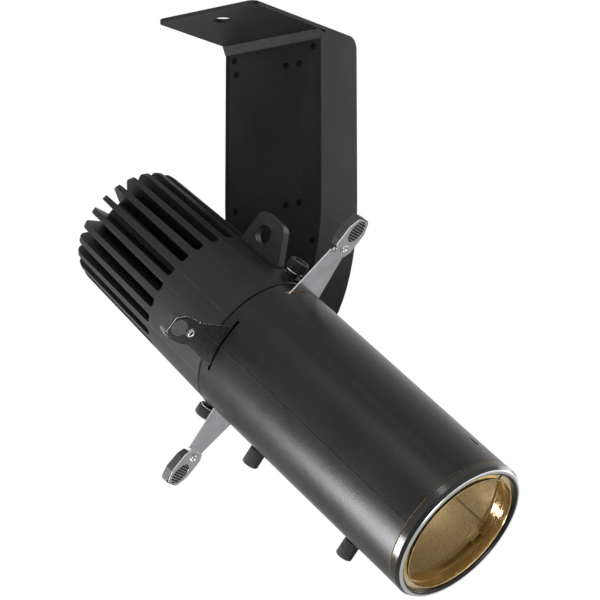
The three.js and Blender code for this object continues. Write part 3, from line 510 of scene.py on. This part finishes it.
def knurled_black(name):
    """Black anodised turned parts, rubbed paler on the ridges."""
    look = Look(name, Metallic=0.1, Specular_IOR_Level=0.2)
    grain = look.noise(0.0006, 3)
    broad = look.noise(0.006, 3)
    base = look.blend(look.span(broad, 0.3, 0.7, 0, 1), grey(0.003), grey(0.007))
    rubbed = look.product(look.edges(0.5, 0.58), look.span(grain, 0.35, 0.65, 0.3, 1))
    colour = look.blend(rubbed, base, grey(0.04))
    roughness = look.span(grain, 0.3, 0.7, 0.28, 0.46)
    return look.finish(colour, roughness, look.bump(grain, 0.00002, 0.6))


def phosphor(name):
    """Yellow phosphor under clear silicone."""
    look = Look(name, Coat_Weight=0.6, Coat_Roughness=0.1)
    grain = look.noise(0.0004, 3)
    base = look.blend(look.span(grain, 0.3, 0.7, 0, 1), rgb(0.78, 0.52, 0.05), rgb(0.86, 0.66, 0.14))
    return look.finish(base, look.span(grain, 0.3, 0.7, 0.4, 0.6), look.bump(grain, 0.00003, 0.5))


def hammered_mirror(name):
    """Bright reflector metal with a fine peened surface."""
    look = Look(name, Metallic=1.0)
    dimple = look.cells(0.0025, "SMOOTH_F1")
    cloud = look.noise(0.01, 3)
    base = look.blend(look.span(cloud, 0.3, 0.7, 0, 1), grey(0.78), grey(0.88))
    return look.finish(base, look.span(cloud, 0.3, 0.7, 0.1, 0.18), look.bump(dimple, 0.0002, 0.7))


ARM = powder_coat("arm_powder_coat", 0.009, 0.55, 0.0005, 0.00004, 0.1)
SCREW_BLACK = powder_coat("screw_black_oxide", 0.003, 0.45, 0.0005, 0.00001, 0.05)
HOUSING = powder_coat("cast_powder_coat", 0.006, 0.46, 0.0007, 0.00006, 0.22)
BARREL = powder_coat("barrel_powder_coat", 0.005, 0.3, 0.0009, 0.00005, 0.2)
BAND = powder_coat("rim_band_lacquer", 0.004, 0.16, 0.0012, 0.000006, 0.4)
BLACK_STEEL = knurled_black("blackened_steel")
BLACK_PLASTIC = moulded_plastic("black_plastic", grey(0.010), grey(0.022), 0.5)
WHITE_PLASTIC = moulded_plastic("white_plastic", rgb(0.76, 0.76, 0.72), rgb(0.84, 0.84, 0.81), 0.5)
BOARD = moulded_plastic("white_board", rgb(0.7, 0.71, 0.69), rgb(0.8, 0.8, 0.78), 0.35)
PAD_PLASTIC = moulded_plastic("pad_plastic", grey(0.05), grey(0.12), 0.45, 0.5)
STEEL = steel("stainless_sheet", 0.62, 0.15)
RIVET_STEEL = steel("rivet_steel", 0.7, 0.2, (6, 6, 6))
CHROME = polished_ring("polished_rim")
GOLD = gold_leaf("gold_lining")
GOLD_EDGE = bright_gold("polished_gold_edge")
GLASS = clear_glass("optical_glass")
PHOSPHOR = phosphor("phosphor_dome")
MIRROR = hammered_mirror("reflector_metal")


# ---------------------------------------------------------------- barrel
BLADES = [("bottom", 180, 0, 12), ("right", 90, 1, 8), ("left", -90, 2, 9), ("top", 0, 3, 8)]
BLADE_FIRST = 5.8
BLADE_PITCH = 1.2
BLADE_SLOT = (19.25, 12, 1.1)
KNOB_SLOTS = [(28.5, 85.0), (101.5, 168.0)]
KNOB_SLOT_HALF = 3.2
HATCH = (12.5, 25.0, 46.0, 1.5)
ACCESSORY_AHEAD = 173.0
SNAP_GAP_CLOCK = 102
SNAP_GAP_HALF = 5.3


def blade_ahead(level):
    """Distance of a shutter level ahead of the seam."""
    return BLADE_FIRST + BLADE_PITCH * level


def blade_slot(angle, level):
    """A cutter for a shutter's slot."""
    half, deep, thin = BLADE_SLOT
    z = blade_ahead(level)
    cutter = block((-half, BARREL_BORE - deep, z - thin), (half, BARREL_RADIUS + 4, z + thin))
    return solid("cutter", moved(cutter, clock(angle)), HEAD)


def knob_slot(start, end, half=KNOB_SLOT_HALF):
    """A cutter for a focus knob's slot."""
    outline = rounded([(-half, start, half * 0.95), (half, start, half * 0.95),
                       (half, end, half * 0.95), (-half, end, half * 0.95)])
    cutter = prism(outline, LINER_RADIUS - 8, BARREL_RADIUS + 4)
    return solid("cutter", moved(cutter, RADIAL_DOWN), HEAD)


def barrel_half(upper):
    """Half of the barrel tube, gold inside, with its slots."""
    rear, front = BARREL_LOW.z, BARREL_HIGH.z
    profile = [
        (BARREL_BORE, rear),
        (BARREL_RADIUS - 0.5, rear),
        (BARREL_RADIUS, rear + 0.5),
        (BARREL_RADIUS, front),
        (BARREL_BORE, front),
    ]
    gap = math.degrees(JOINT_GAP / 2 / BARREL_RADIUS)
    middle = 0 if upper else 180
    tube = lathe(profile, middle - 90 + gap, middle + 90 - gap, ROUND // 2)
    shell = solid("barrel_shell_upper" if upper else "barrel_shell_lower", tube, HEAD)
    cutters = [blade_slot(angle, level) for _, angle, level, _ in BLADES]
    if upper:
        teardrop = rounded([(-1.4, -3.6, 1.2), (1.4, -3.6, 1.2), (0.5, 3.6, 0.3), (-0.5, 3.6, 0.3)])
        flat = Matrix.Translation((0, 0, ACCESSORY_AHEAD)) @ RADIAL_UP
        pocket = prism(teardrop, BARREL_BORE + 0.5, BARREL_RADIUS + 4)
        cutters.append(solid("cutter", moved(pocket, flat), HEAD))
    else:
        cutters += [knob_slot(start, end) for start, end in KNOB_SLOTS]
        start, end, half, deep = HATCH
        pocket = [(BARREL_RADIUS - deep, start), (BARREL_RADIUS + 3, start),
                  (BARREL_RADIUS + 3, end), (BARREL_RADIUS - deep, end)]
        cutters.append(solid("cutter", lathe(pocket, 180 - half, 180 + half, ROUND // 4), HEAD))
    boolean(shell, cutters)
    soften(shell, 0.22)
    piece(shell, [BARREL, GOLD], "barrel_upper" if upper else "barrel_lower")
    paint(shell, lambda spot: int(math.hypot(spot.x, spot.y) < BARREL_BORE + 0.3))
    return shell


def access_hatch():
    """The small plate let into the lower half."""
    start, end, half, deep = HATCH
    gap = 0.45
    profile = [(BARREL_RADIUS - deep + 0.1, start + gap), (BARREL_RADIUS - 0.05, start + gap),
               (BARREL_RADIUS - 0.05, end - gap), (BARREL_RADIUS - deep + 0.1, end - gap)]
    turn = math.degrees(gap / BARREL_RADIUS)
    plate = lathe(profile, 180 - half + turn, 180 + half - turn, ROUND // 4)
    return piece(soften(solid("hatch_plate", plate, HEAD), 0.2), BARREL, "access_hatch")


def liner_half(upper):
    """Half of the gold lining."""
    profile = [(LINER_RADIUS - 0.9, LINER_LOW.z), (LINER_RADIUS, LINER_LOW.z),
               (LINER_RADIUS, LINER_HIGH.z), (LINER_RADIUS - 0.9, LINER_HIGH.z)]
    middle = 0 if upper else 180
    gap = 0.85
    tube = lathe(profile, middle - 90 + gap, middle + 90 - gap, ROUND // 3)
    shell = solid("lining_upper" if upper else "lining_lower", tube, HEAD)
    if not upper:
        boolean(shell, [knob_slot(start, end) for start, end in KNOB_SLOTS])
    return piece(soften(shell, 0.15), GOLD, "liner_upper" if upper else "liner_lower")


def rim():
    """The front bezel: a painted band and a polished rim with a groove inside it."""
    low, high, radius = span("front_bezel")
    face = high.z
    spigot = BARREL_BORE - 0.3
    seat = BARREL_RADIUS - 5.4
    mouth = BARREL_RADIUS - 8.7
    crown = arc(BARREL_RADIUS - 2.9, face - 2.0, 2.0, 160, 20, 10)
    ledge = BARREL_HIGH.z + 1.6
    steps = [(mouth, BARREL_HIGH.z + 0.3), (mouth, ledge), (mouth + 0.7, ledge + 0.3),
             (mouth + 0.7, ledge + 1.5), (mouth, ledge + 1.8)]
    profile = [
        *steps, (mouth, face - 1), *arc(mouth + 0.3, face - 0.9, 0.3, 180, 0, 4),
        (mouth + 0.6, face - 3), (BARREL_RADIUS - 5, face - 3), (BARREL_RADIUS - 5, face - 1.2), *crown,
        (radius - 0.35, face - 2.6), (radius, face - 3.2), (radius, BARREL_HIGH.z + 1.0),
        (radius - 0.6, BARREL_HIGH.z + 0.3), (spigot, BARREL_HIGH.z + 0.3), (spigot, low.z),
        (seat, low.z), (seat, BARREL_HIGH.z + 0.3),
    ]
    def finish_at(spot):
        around = math.hypot(spot.x, spot.y)
        if around < mouth + 0.7 or (around < seat + 0.2 and spot.z < BARREL_HIGH.z + 0.6):
            return gold
        if BARREL_RADIUS - 3.4 < around < BARREL_RADIUS - 1.3 and spot.z > face - 1:
            return polished
        return painted

    polished, painted, gold = range(3)
    ring = soften(solid("rim_ring", lathe(profile), HEAD), 0, 30)
    piece(ring, [CHROME, BAND, GOLD_EDGE], "front_bezel")
    paint(ring, finish_at)
    return ring


def lens(node, name, edge_half, bulge):
    """A biconvex lens."""
    low, high, radius = span(node)
    middle = (low.z + high.z) / 2
    steps = 20
    dome = [(radius * k / steps, bulge * (1 - (k / steps) ** 2)) for k in range(steps + 1)]
    profile = [(r, middle - edge_half - lift) for r, lift in dome]
    profile += [(r, middle + edge_half + lift) for r, lift in reversed(dome)]
    return piece(soften(solid(name, lathe(profile, segments=96), HEAD), 0), GLASS, node)


def retainer():
    """The split ring in the mouth."""
    low, high, _ = span("snap_ring")
    inner, outer = BARREL_RADIUS - 8, BARREL_RADIUS - 5.6
    profile = [(inner, low.z), (outer, low.z), (outer, high.z), (inner, high.z)]
    start = SNAP_GAP_CLOCK + SNAP_GAP_HALF
    ring = lathe(profile, start, start + 360 - 2 * SNAP_GAP_HALF, ROUND)
    return piece(soften(solid("retaining_ring", ring, HEAD), 0.3), GOLD_EDGE, "snap_ring")


def carriage(name):
    """A ribbed ring that carries a lens."""
    low, high, outer = span(f"carriage_{name}")
    middle = (low.z + high.z) / 2
    half = (high.z - low.z) / 2
    seat = span(f"lens_{name}")[2] + 0.3
    ribs = [(outer - 0.8 if k % 2 else outer, low.z + 2 + (half * 2 - 4) * k / 7) for k in range(8)]
    profile = [
        (seat, middle - 2), (seat + 1.2, low.z), (outer - 0.6, low.z), (outer, low.z + 0.6),
        *ribs, (outer, high.z - 0.6), (outer - 0.6, high.z), (seat + 1.2, high.z), (seat, middle + 2),
    ]
    ring = solid(f"lens_carriage_{name}", lathe(profile, segments=96), HEAD)
    return piece(soften(ring, 0.15), BLACK_PLASTIC, f"carriage_{name}")


def focus_knob(name):
    """A knurled knob on its stud, below the barrel."""
    node = f"focus_knob_{name}"
    low, high, _ = span(node)
    ahead = (low.z + high.z) / 2
    tip, inner = -low.y, -high.y
    base = BARREL_RADIUS + 0.9
    radius = (high.z - low.z) / 2
    grip = knurled(radius, base + 1.6, tip, 30, 0.32, 0.5)
    knob = solid("focus_grip_" + name, grip)
    collar = solid("part", lathe([(0, base), (radius - 1.2, base), (radius - 0.9, base + 0.3),
                                  (radius - 0.9, base + 2.2), (0, base + 2.2)], segments=64))
    stud = solid("part", lathe([(0, inner), (2.4, inner), (2.4, base + 1), (0, base + 1)], segments=32))
    dimple = solid("part", lathe([(0, tip - 0.5), (radius - 1.9, tip - 0.5), (radius - 1.5, tip + 1),
                                  (0, tip + 1)], segments=48))
    boolean(knob, [collar, stud], "UNION")
    boolean(knob, [dimple])
    knob.data.transform(HEAD @ Matrix.Translation((0, 0, ahead)) @ RADIAL_DOWN)
    return piece(soften(knob, 0.08), BLACK_STEEL, node)


# ---------------------------------------------------------------- shutters
GRIP_START = BARREL_RADIUS + 31.5
GRIP_END = BARREL_RADIUS + 60.5
RIVET_AT = BARREL_RADIUS + 37.5
WINDOW_AT = BARREL_RADIUS + 51.0
BLADE_NECK = BARREL_RADIUS + 30.0
BLADE_THICK = 0.8
FACE_LOW, FACE_HIGH = 1.8, 2.7
BODY_LOW, BODY_HIGH = -3.65, 1.75


def place_blade(angle, level, swivel):
    """From blade coordinates (x across, y outwards, z ahead of its middle plane) to the frame."""
    about = Matrix.Translation((0, BARREL_RADIUS, 0))
    turn = about @ clock(swivel) @ about.inverted()
    return HEAD @ clock(angle) @ Matrix.Translation((0, 0, blade_ahead(level))) @ turn


def oval(grow, count=48):
    """The window of a shutter's grip, larger by grow."""
    return [((5.9 + grow) * math.cos(math.tau * k / count),
             WINDOW_AT + (8 + grow) * math.sin(math.tau * k / count)) for k in range(count)]


def hole(radius, low, high, at=RIVET_AT):
    """A round cutter through a shutter."""
    return prism([(x, y + at) for x, y in disc(radius, 32)], low, high)


def shutter_sheet(name, matrix):
    """A shutter blade with its grip plate."""
    half = BLADE_THICK / 2
    sheet = solid("shutter_" + name, prism(rounded([
        (-19.5, 26, 1), (19.5, 26, 1), (14.6, BARREL_RADIUS, 0), (8.6, BLADE_NECK, 2),
        (8.2, BLADE_NECK + 3, 1), (-8.2, BLADE_NECK + 3, 1), (-8.6, BLADE_NECK, 2),
        (-14.6, BARREL_RADIUS, 0)], 4), -half, half))
    step = solid("part", prism([(-6, BLADE_NECK + 1), (6, BLADE_NECK + 1), (6, BLADE_NECK + 5),
                                (-6, BLADE_NECK + 5)], -half + 0.1, FACE_LOW + 0.2))
    face = solid("part", prism(rounded([
        (-6, GRIP_START + 1, 0.8), (6, GRIP_START + 1, 0.8), (9, GRIP_START + 6, 2.4),
        (9.2, GRIP_END - 9, 4), (5.5, GRIP_END - 0.8, 2.4), (-5.5, GRIP_END - 0.8, 2.4),
        (-9.2, GRIP_END - 9, 4), (-9, GRIP_START + 6, 2.4)]), FACE_LOW, FACE_HIGH))
    boolean(sheet, [step, face], "UNION")
    boolean(sheet, [solid("part", prism(oval(0), FACE_LOW - 1, FACE_HIGH + 1)),
                    solid("part", hole(2.1, FACE_LOW - 4, FACE_HIGH + 1))])
    sheet.data.transform(matrix)
    return piece(soften(sheet, 0.16), STEEL, f"blade_{name}")


def shutter_grip(name, matrix):
    """The moulded body and the ribs of a grip."""
    body = solid("grip_body_" + name, prism(rounded([
        (-6.5, GRIP_START + 4.2, 1.2), (6.5, GRIP_START + 4.2, 1.2), (9.2, GRIP_START + 9, 2.6),
        (9.6, GRIP_END - 9, 4), (6, GRIP_END, 3), (-6, GRIP_END, 3), (-9.6, GRIP_END - 9, 4),
        (-9.2, GRIP_START + 9, 2.6)]), BODY_LOW, BODY_HIGH))
    boolean(body, [solid("part", hole(2.1, BODY_LOW - 1, BODY_HIGH + 1))])
    body.data.transform(matrix)
    grip = piece(soften(body, 0.5, segments=3), BLACK_PLASTIC, f"grip_{name}")
    ribs = bmesh.new()
    count = 8
    for k in range(count):
        y = -6.6 + 13.2 * k / (count - 1)
        half_width = 5.6 * math.sqrt(max(0.05, 1 - (y / 7.8) ** 2))
        across = [(-half_width, WINDOW_AT + y - 0.5), (half_width, WINDOW_AT + y - 0.5),
                  (half_width, WINDOW_AT + y + 0.5), (-half_width, WINDOW_AT + y + 0.5)]
        prism(across, BODY_HIGH + 0.05, FACE_HIGH + 0.15, ribs)
    pad = soften(solid("grip_ribs_" + name, ribs, matrix), 0.3, segments=2)
    pad.data.materials.append(PAD_PLASTIC)
    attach(pad, BODY_OF[f"grip_{name}"])
    return grip


def shutter_rivet(name, matrix):
    """The hollow rivet that holds a grip."""
    top = FACE_HIGH + 0.95
    profile = [(0, BODY_LOW + 0.2), (2.0, BODY_LOW + 0.2), (2.0, FACE_HIGH + 0.05), (3.1, FACE_HIGH + 0.05),
               (3.1, FACE_HIGH + 0.4), *arc(1.9, FACE_HIGH + 0.4, 0.55, 0, 90, 5)[1:],
               (1.5, top - 0.4), (0, top - 0.55)]
    shape = moved(lathe(profile, segments=48), Matrix.Translation((0, RIVET_AT, 0)))
    rivet = solid("rivet_head_" + name, shape, matrix)
    return piece(soften(rivet, 0), RIVET_STEEL, f"rivet_{name}")


# ---------------------------------------------------------------- housing
FIN_COUNT = 24
FIN_LENGTH = 90.0
SLOT_FRONT = HOUSING_REAR + FIN_LENGTH
COLLAR_DEPTH = 15.0
COLLAR_BORE = BARREL_BORE + 0.1
CAVITY_RADIUS = COLLAR_BORE - 4.6
CAVITY_FLOOR = SLOT_FRONT + 7.7
REAR_RADIUS = 45.4
LOCK_AHEAD = -8.0


def housing_radius(z):
    """The housing's radius at z, which tapers to the rear."""
    return BARREL_RADIUS - (BARREL_RADIUS - REAR_RADIUS) * z / HOUSING_REAR


def fin_slots():
    """All the gaps between fins as one cutter: open at the rear, narrower towards the core."""
    cutters = bmesh.new()
    inner, outer = 25.0, BARREL_RADIUS + 4
    front = SLOT_FRONT
    for index in range(FIN_COUNT):
        turn = clock(360 * index / FIN_COUNT)
        loops = []
        for r in (inner, outer):
            share = (r / housing_radius(SLOT_FRONT)) ** 1.15
            outline = rounded([(-3.4, front, 2.2), (3.4, front, 2.2), (4.35, HOUSING_REAR - 3, 0),
                               (-4.35, HOUSING_REAR - 3, 0)], 5)
            loops.append([cutters.verts.new(turn @ Vector((x * share, r, z))) for x, z in outline])
        count = len(loops[0])
        cutters.faces.new(loops[0])
        cutters.faces.new(list(reversed(loops[1])))
        for k in range(count):
            after = (k + 1) % count
            cutters.faces.new((loops[0][k], loops[1][k], loops[1][after], loops[0][after]))
    return solid("cutter", cutters, HEAD)


def lug():
    """The ear for a safety wire."""
    rim_radius = housing_radius(-40)
    outline = rounded([(-57, rim_radius - 4, 0), (-18, rim_radius - 4, 0), (-19, rim_radius + 2.5, 2),
                       (-31, rim_radius + 24.6, 7), (-54.5, rim_radius + 24.6, 5),
                       (-57, rim_radius - 2, 0)], 8)
    upright = Matrix(((0, 0, 1, 0), (0, 1, 0, 0), (1, 0, 0, 0), (0, 0, 0, 1)))
    ear = solid("part", moved(prism(outline, -3, 3), upright), HEAD)
    bore = prism([(x - 43, y + BARREL_RADIUS + 10.3) for x, y in disc(6.5, 48)], -5, 5)
    return boolean(ear, [solid("part", moved(bore, upright), HEAD)])


def housing():
    """The finned rear housing."""
    front = BARREL_LOW.z - 1.0
    rear = HOUSING_REAR
    profile = [
        (0, CAVITY_FLOOR), (CAVITY_RADIUS - 8, CAVITY_FLOOR), (CAVITY_RADIUS, CAVITY_FLOOR + 6),
        (CAVITY_RADIUS, -COLLAR_DEPTH), (COLLAR_BORE, -COLLAR_DEPTH), (COLLAR_BORE, front),
        (BARREL_RADIUS - 0.6, front), (BARREL_RADIUS, front - 0.6), (housing_radius(rear + 8), rear + 8),
        *arc(REAR_RADIUS - 6.4, rear + 6.4, 6.4, 0, -90, 6),
        (24, rear), (22, rear + 5), (0, rear + 5),
    ]
    shell = solid("finned_housing", lathe(profile, segments=240), HEAD)
    boolean(shell, [fin_slots()])
    boss = prism(disc(15.5, 64), CAVITY_RADIUS + 1, span("rear_housing")[1].x)
    sideways = Matrix(((0, 0, 1, 0), (1, 0, 0, 0), (0, 1, 0, PIVOT_AHEAD), (0, 0, 0, 1)))
    extras = [solid("part", moved(boss, sideways), HEAD), lug()]
    for angle in (0, 180):
        rounds = prism(disc(6.8, 48), COLLAR_BORE + 0.4, BARREL_RADIUS + 1.6)
        place = HEAD @ clock(angle) @ Matrix.Translation((0, 0, LOCK_AHEAD)) @ RADIAL_UP
        extras.append(solid("part", rounds, place))
    boolean(shell, extras, "UNION")
    holes = []
    for angle in (0, 180):
        way = prism(disc(2.3, 32), COLLAR_BORE - 2, BARREL_RADIUS + 4)
        place = HEAD @ clock(angle) @ Matrix.Translation((0, 0, LOCK_AHEAD)) @ RADIAL_UP
        holes.append(solid("part", way, place))
    shaft_way = prism(disc(5.1, 32), CAVITY_RADIUS - 4, BARREL_RADIUS + 3)
    holes.append(solid("part", moved(shaft_way, sideways), HEAD))
    boolean(shell, holes)
    return piece(soften(shell, 0.45, 32, 2), HOUSING, "rear_housing")


def lock_screw(name, angle):
    """A thumb screw: black knurled head, bright washer edge and stem."""
    node = f"lock_screw_{name}"
    base = BARREL_RADIUS + 5.6
    head = solid("thumb_screw_" + name, knurled(7.0, base, base + 7, 26, 0.5, 0.6))
    neck = solid("part", lathe([(0, BARREL_RADIUS + 1.9), (4, BARREL_RADIUS + 1.9), (4, base + 0.4),
                                (0, base + 0.4)], segments=48))
    stem = solid("part", lathe([(0, COLLAR_BORE + 0.1), (2, COLLAR_BORE + 0.1), (2, base),
                                (0, base)], segments=32))
    washer = solid("part", lathe([(0, base - 0.7), (6.1, base - 0.7), (6.1, base - 0.1), (0, base - 0.1)],
                                 segments=48))
    dish = solid("part", lathe([(0, base + 6.2), (4.3, base + 6.2), (4.9, base + 8), (0, base + 8)],
                               segments=48))
    boolean(head, [neck, stem, washer], "UNION")
    boolean(head, [dish])
    head.data.transform(HEAD @ clock(angle) @ Matrix.Translation((0, 0, LOCK_AHEAD)) @ RADIAL_UP)
    soften(head, 0.12)
    piece(head, [BLACK_STEEL, RIVET_STEEL], node)
    back = (HEAD @ clock(angle)).inverted()
    for polygon in head.data.polygons:
        spot = back @ polygon.center
        if base - 0.8 < spot.y < base and math.hypot(spot.x, spot.z - LOCK_AHEAD) > 4.2:
            polygon.material_index = 1
    return head


# ---------------------------------------------------------------- bracket
def cover_screw(index):
    """A small cross-head screw of the arm's cover."""
    node = f"cover_screw_{index}"
    low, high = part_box(node)
    middle = (low + high) / 2 / MM
    head_x = low.x / MM
    dome = [(0, 0.0), (1.5, 0.05), (2.2, 0.28), (2.5, 0.7), (1.3, 0.7), (1.3, 5.6), (0, 5.6)]
    screw = solid("pan_screw_%d" % index, lathe(dome, segments=40))
    crosses = [solid("part", block((-1.5, -0.3, -1), (1.5, 0.3, 0.4))),
               solid("part", block((-0.3, -1.5, -1), (0.3, 1.5, 0.4)))]
    boolean(screw, crosses)
    along_x = Matrix(((0, 0, 1, head_x), (1, 0, 0, middle.y), (0, 1, 0, middle.z), (0, 0, 0, 1)))
    screw.data.transform(WORLD @ along_x)
    return piece(soften(screw, 0.06), SCREW_BLACK, node)


TILT_KNOB_RADIUS = 11.6
TILT_KNOB_LOBE = 0.9
TILT_KNOB_LOBES = 8
TILT_KNOB_STEPS = 160


def tilt_knob():
    """The lobed knob that locks the tilt."""
    low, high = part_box("tilt_knob")
    length = (high.x - low.x) / MM
    outline = []
    for k in range(TILT_KNOB_STEPS):
        angle = math.tau * k / TILT_KNOB_STEPS
        radius = TILT_KNOB_RADIUS + TILT_KNOB_LOBE * math.cos(angle * TILT_KNOB_LOBES)
        outline.append((radius * math.cos(angle), radius * math.sin(angle)))
    grip = solid("tilt_grip", prism(outline, 3, length))
    collar = solid("part", lathe([(0, 0), (9, 0), (9, 4), (0, 4)], segments=64))
    bore = solid("part", prism(disc(5.1, 32), -1, 10.4))
    dish = solid("part", lathe([(0, length - 1.0), (7.0, length - 1.0), (8.0, length + 1), (0, length + 1)],
                               segments=64))
    boolean(grip, [collar], "UNION")
    boolean(grip, [bore, dish])
    along_x = Matrix(((0, 0, 1, low.x / MM), (1, 0, 0, 0), (0, 1, 0, PIVOT.z / MM), (0, 0, 0, 1)))
    grip.data.transform(WORLD @ along_x)
    return piece(soften(grip, 0.7, 40, 3), BLACK_PLASTIC, "tilt_knob")


# ---------------------------------------------------------------- the object
def build():
    """Every piece of the spotlight."""
    refined("yoke_bracket", "hanging_arm", ARM, 0.5)
    refined("driver_cover", "arm_cover", ARM, 0.35)
    for index in range(1, 11):
        cover_screw(index)
    refined("led_driver", "power_supply", WHITE_PLASTIC, 0.8)
    refined("terminal_block", "wire_terminals", WHITE_PLASTIC, 0.4)
    refined("cable_gland", "cord_gland", BLACK_PLASTIC, 0.3)
    refined("pivot_tube", "arm_tube", STEEL, 0.2)
    tilt_knob()
    housing()
    refined("pivot_shaft", "tilt_shaft", STEEL, 0.3)
    refined("pivot_washer", "friction_washer", BLACK_PLASTIC, 0.2)
    refined("led_board", "light_board", BOARD, 0.2)
    refined("led_chip", "light_source", PHOSPHOR, 0.2)
    refined("cob_holder", "source_holder", WHITE_PLASTIC, 0.3)
    refined("reflector", "reflector_bowl", MIRROR, 0.1)
    lock_screw("top", 0)
    lock_screw("bottom", 180)
    barrel_half(True)
    barrel_half(False)
    access_hatch()
    refined("gate_rear", "gate_plate_rear", BLACK_STEEL, 0.2)
    refined("gate_front", "gate_plate_front", BLACK_STEEL, 0.2)
    liner_half(True)
    liner_half(False)
    rim()
    retainer()
    for name, bulge in (("rear", 6.5), ("front", 7.5)):
        carriage(name)
        lens(f"lens_{name}", f"focus_lens_{name}", 1.8, bulge)
        focus_knob(name)
    for name, angle, level, swivel in BLADES:
        matrix = place_blade(angle, level, swivel)
        shutter_sheet(name, matrix)
        shutter_grip(name, matrix)
        shutter_rivet(name, matrix)


# ---------------------------------------------------------------- studio
FLOOR_DROP = 2.4
FLOOR_SIZE = 30.0
CAMERA_AZIMUTH = -54.11
CAMERA_ELEVATION = -8.91
CAMERA_DISTANCE = 1.4929
CAMERA_LENS = 136.3
CAMERA_SENSOR = 36.0
AIM_SHIFT = Vector((4.2, -5.0, -2.8)) * MM


def backwards(azimuth, elevation):
    """The unit vector from what is looked at to the eye."""
    a, e = math.radians(azimuth), math.radians(elevation)
    return Vector((math.sin(a) * math.cos(e), -math.cos(a) * math.cos(e), math.sin(e)))


def camera():
    """The eye."""
    data = bpy.data.cameras.new("camera")
    data.lens = CAMERA_LENS
    data.sensor_width = CAMERA_SENSOR
    data.clip_end = 100
    made = bpy.data.objects.new("camera", data)
    bpy.context.scene.collection.objects.link(made)
    back = backwards(CAMERA_AZIMUTH, CAMERA_ELEVATION)
    made.location = (CAD_LOW + CAD_HIGH) / 2 + AIM_SHIFT + back * CAMERA_DISTANCE
    made.rotation_mode = "QUATERNION"
    made.rotation_quaternion = (-back).to_track_quat("-Z", "Y")
    bpy.context.scene.camera = made


def lamp(name, azimuth, elevation, distance, size, watts):
    """A soft square lamp aimed at the object."""
    data = bpy.data.lights.new(name, "AREA")
    data.shape = "RECTANGLE"
    data.size = size
    data.size_y = size
    data.energy = watts
    made = bpy.data.objects.new(name, data)
    bpy.context.scene.collection.objects.link(made)
    back = backwards(azimuth, elevation)
    made.location = (CAD_LOW + CAD_HIGH) / 2 + back * distance
    made.rotation_mode = "QUATERNION"
    made.rotation_quaternion = (-back).to_track_quat("-Z", "Y")


def world(diffuse_level):
    """White to the camera, to mirrors and through glass; a plain grey level as light."""
    made = bpy.data.worlds.new("studio")
    made.use_nodes = True
    tree = made.node_tree
    background = tree.nodes["Background"]
    background.inputs["Color"].default_value = (1, 1, 1, 1)
    path = tree.nodes.new("ShaderNodeLightPath")
    seen = path.outputs["Is Camera Ray"]
    for kind in ("Is Glossy Ray", "Is Transmission Ray"):
        either = tree.nodes.new("ShaderNodeMath")
        either.operation = "MAXIMUM"
        tree.links.new(seen, either.inputs[0])
        tree.links.new(path.outputs[kind], either.inputs[1])
        seen = either.outputs[0]
    level = tree.nodes.new("ShaderNodeMapRange")
    tree.links.new(seen, level.inputs["Value"])
    level.inputs["To Min"].default_value = diffuse_level
    level.inputs["To Max"].default_value = 1.0
    tree.links.new(level.outputs["Result"], background.inputs["Strength"])
    bpy.context.scene.world = made


def floor():
    """A pale paper floor."""
    look = Look("floor_paper", Specular_IOR_Level=0.2)
    cloud = look.noise(0.6, 3)
    base = look.blend(look.span(cloud, 0.3, 0.7, 0, 1), grey(0.84, 1.0), grey(0.87, 1.0))
    paper = look.finish(base, 0.8, look.bump(look.noise(0.003), 0.0002, 0.3))
    half = FLOOR_SIZE / 2
    bm = bmesh.new()
    corners = [(-half, -half), (half, -half), (half, half), (-half, half)]
    level = CAD_LOW.z - FLOOR_DROP
    bm.faces.new([bm.verts.new((x, y, level)) for x, y in corners])
    made = solid("floor", bm)
    made.data.materials.append(paper)


def studio():
    """Light, floor and view."""
    bpy.context.scene.view_settings.view_transform = "Standard"
    world(0.5)
    floor()
    lamp("key", -62, 38, 1.6, 0.8, 9)
    lamp("low_left", -131, -41, 0.65, 0.4, 13)
    lamp("flank", -148, -36, 1.3, 0.5, 8)
    lamp("right", 70, 20, 1.6, 0.8, 8)
    lamp("mouth", -30, -30, 1.5, 0.6, 5)


build()
studio()
camera()
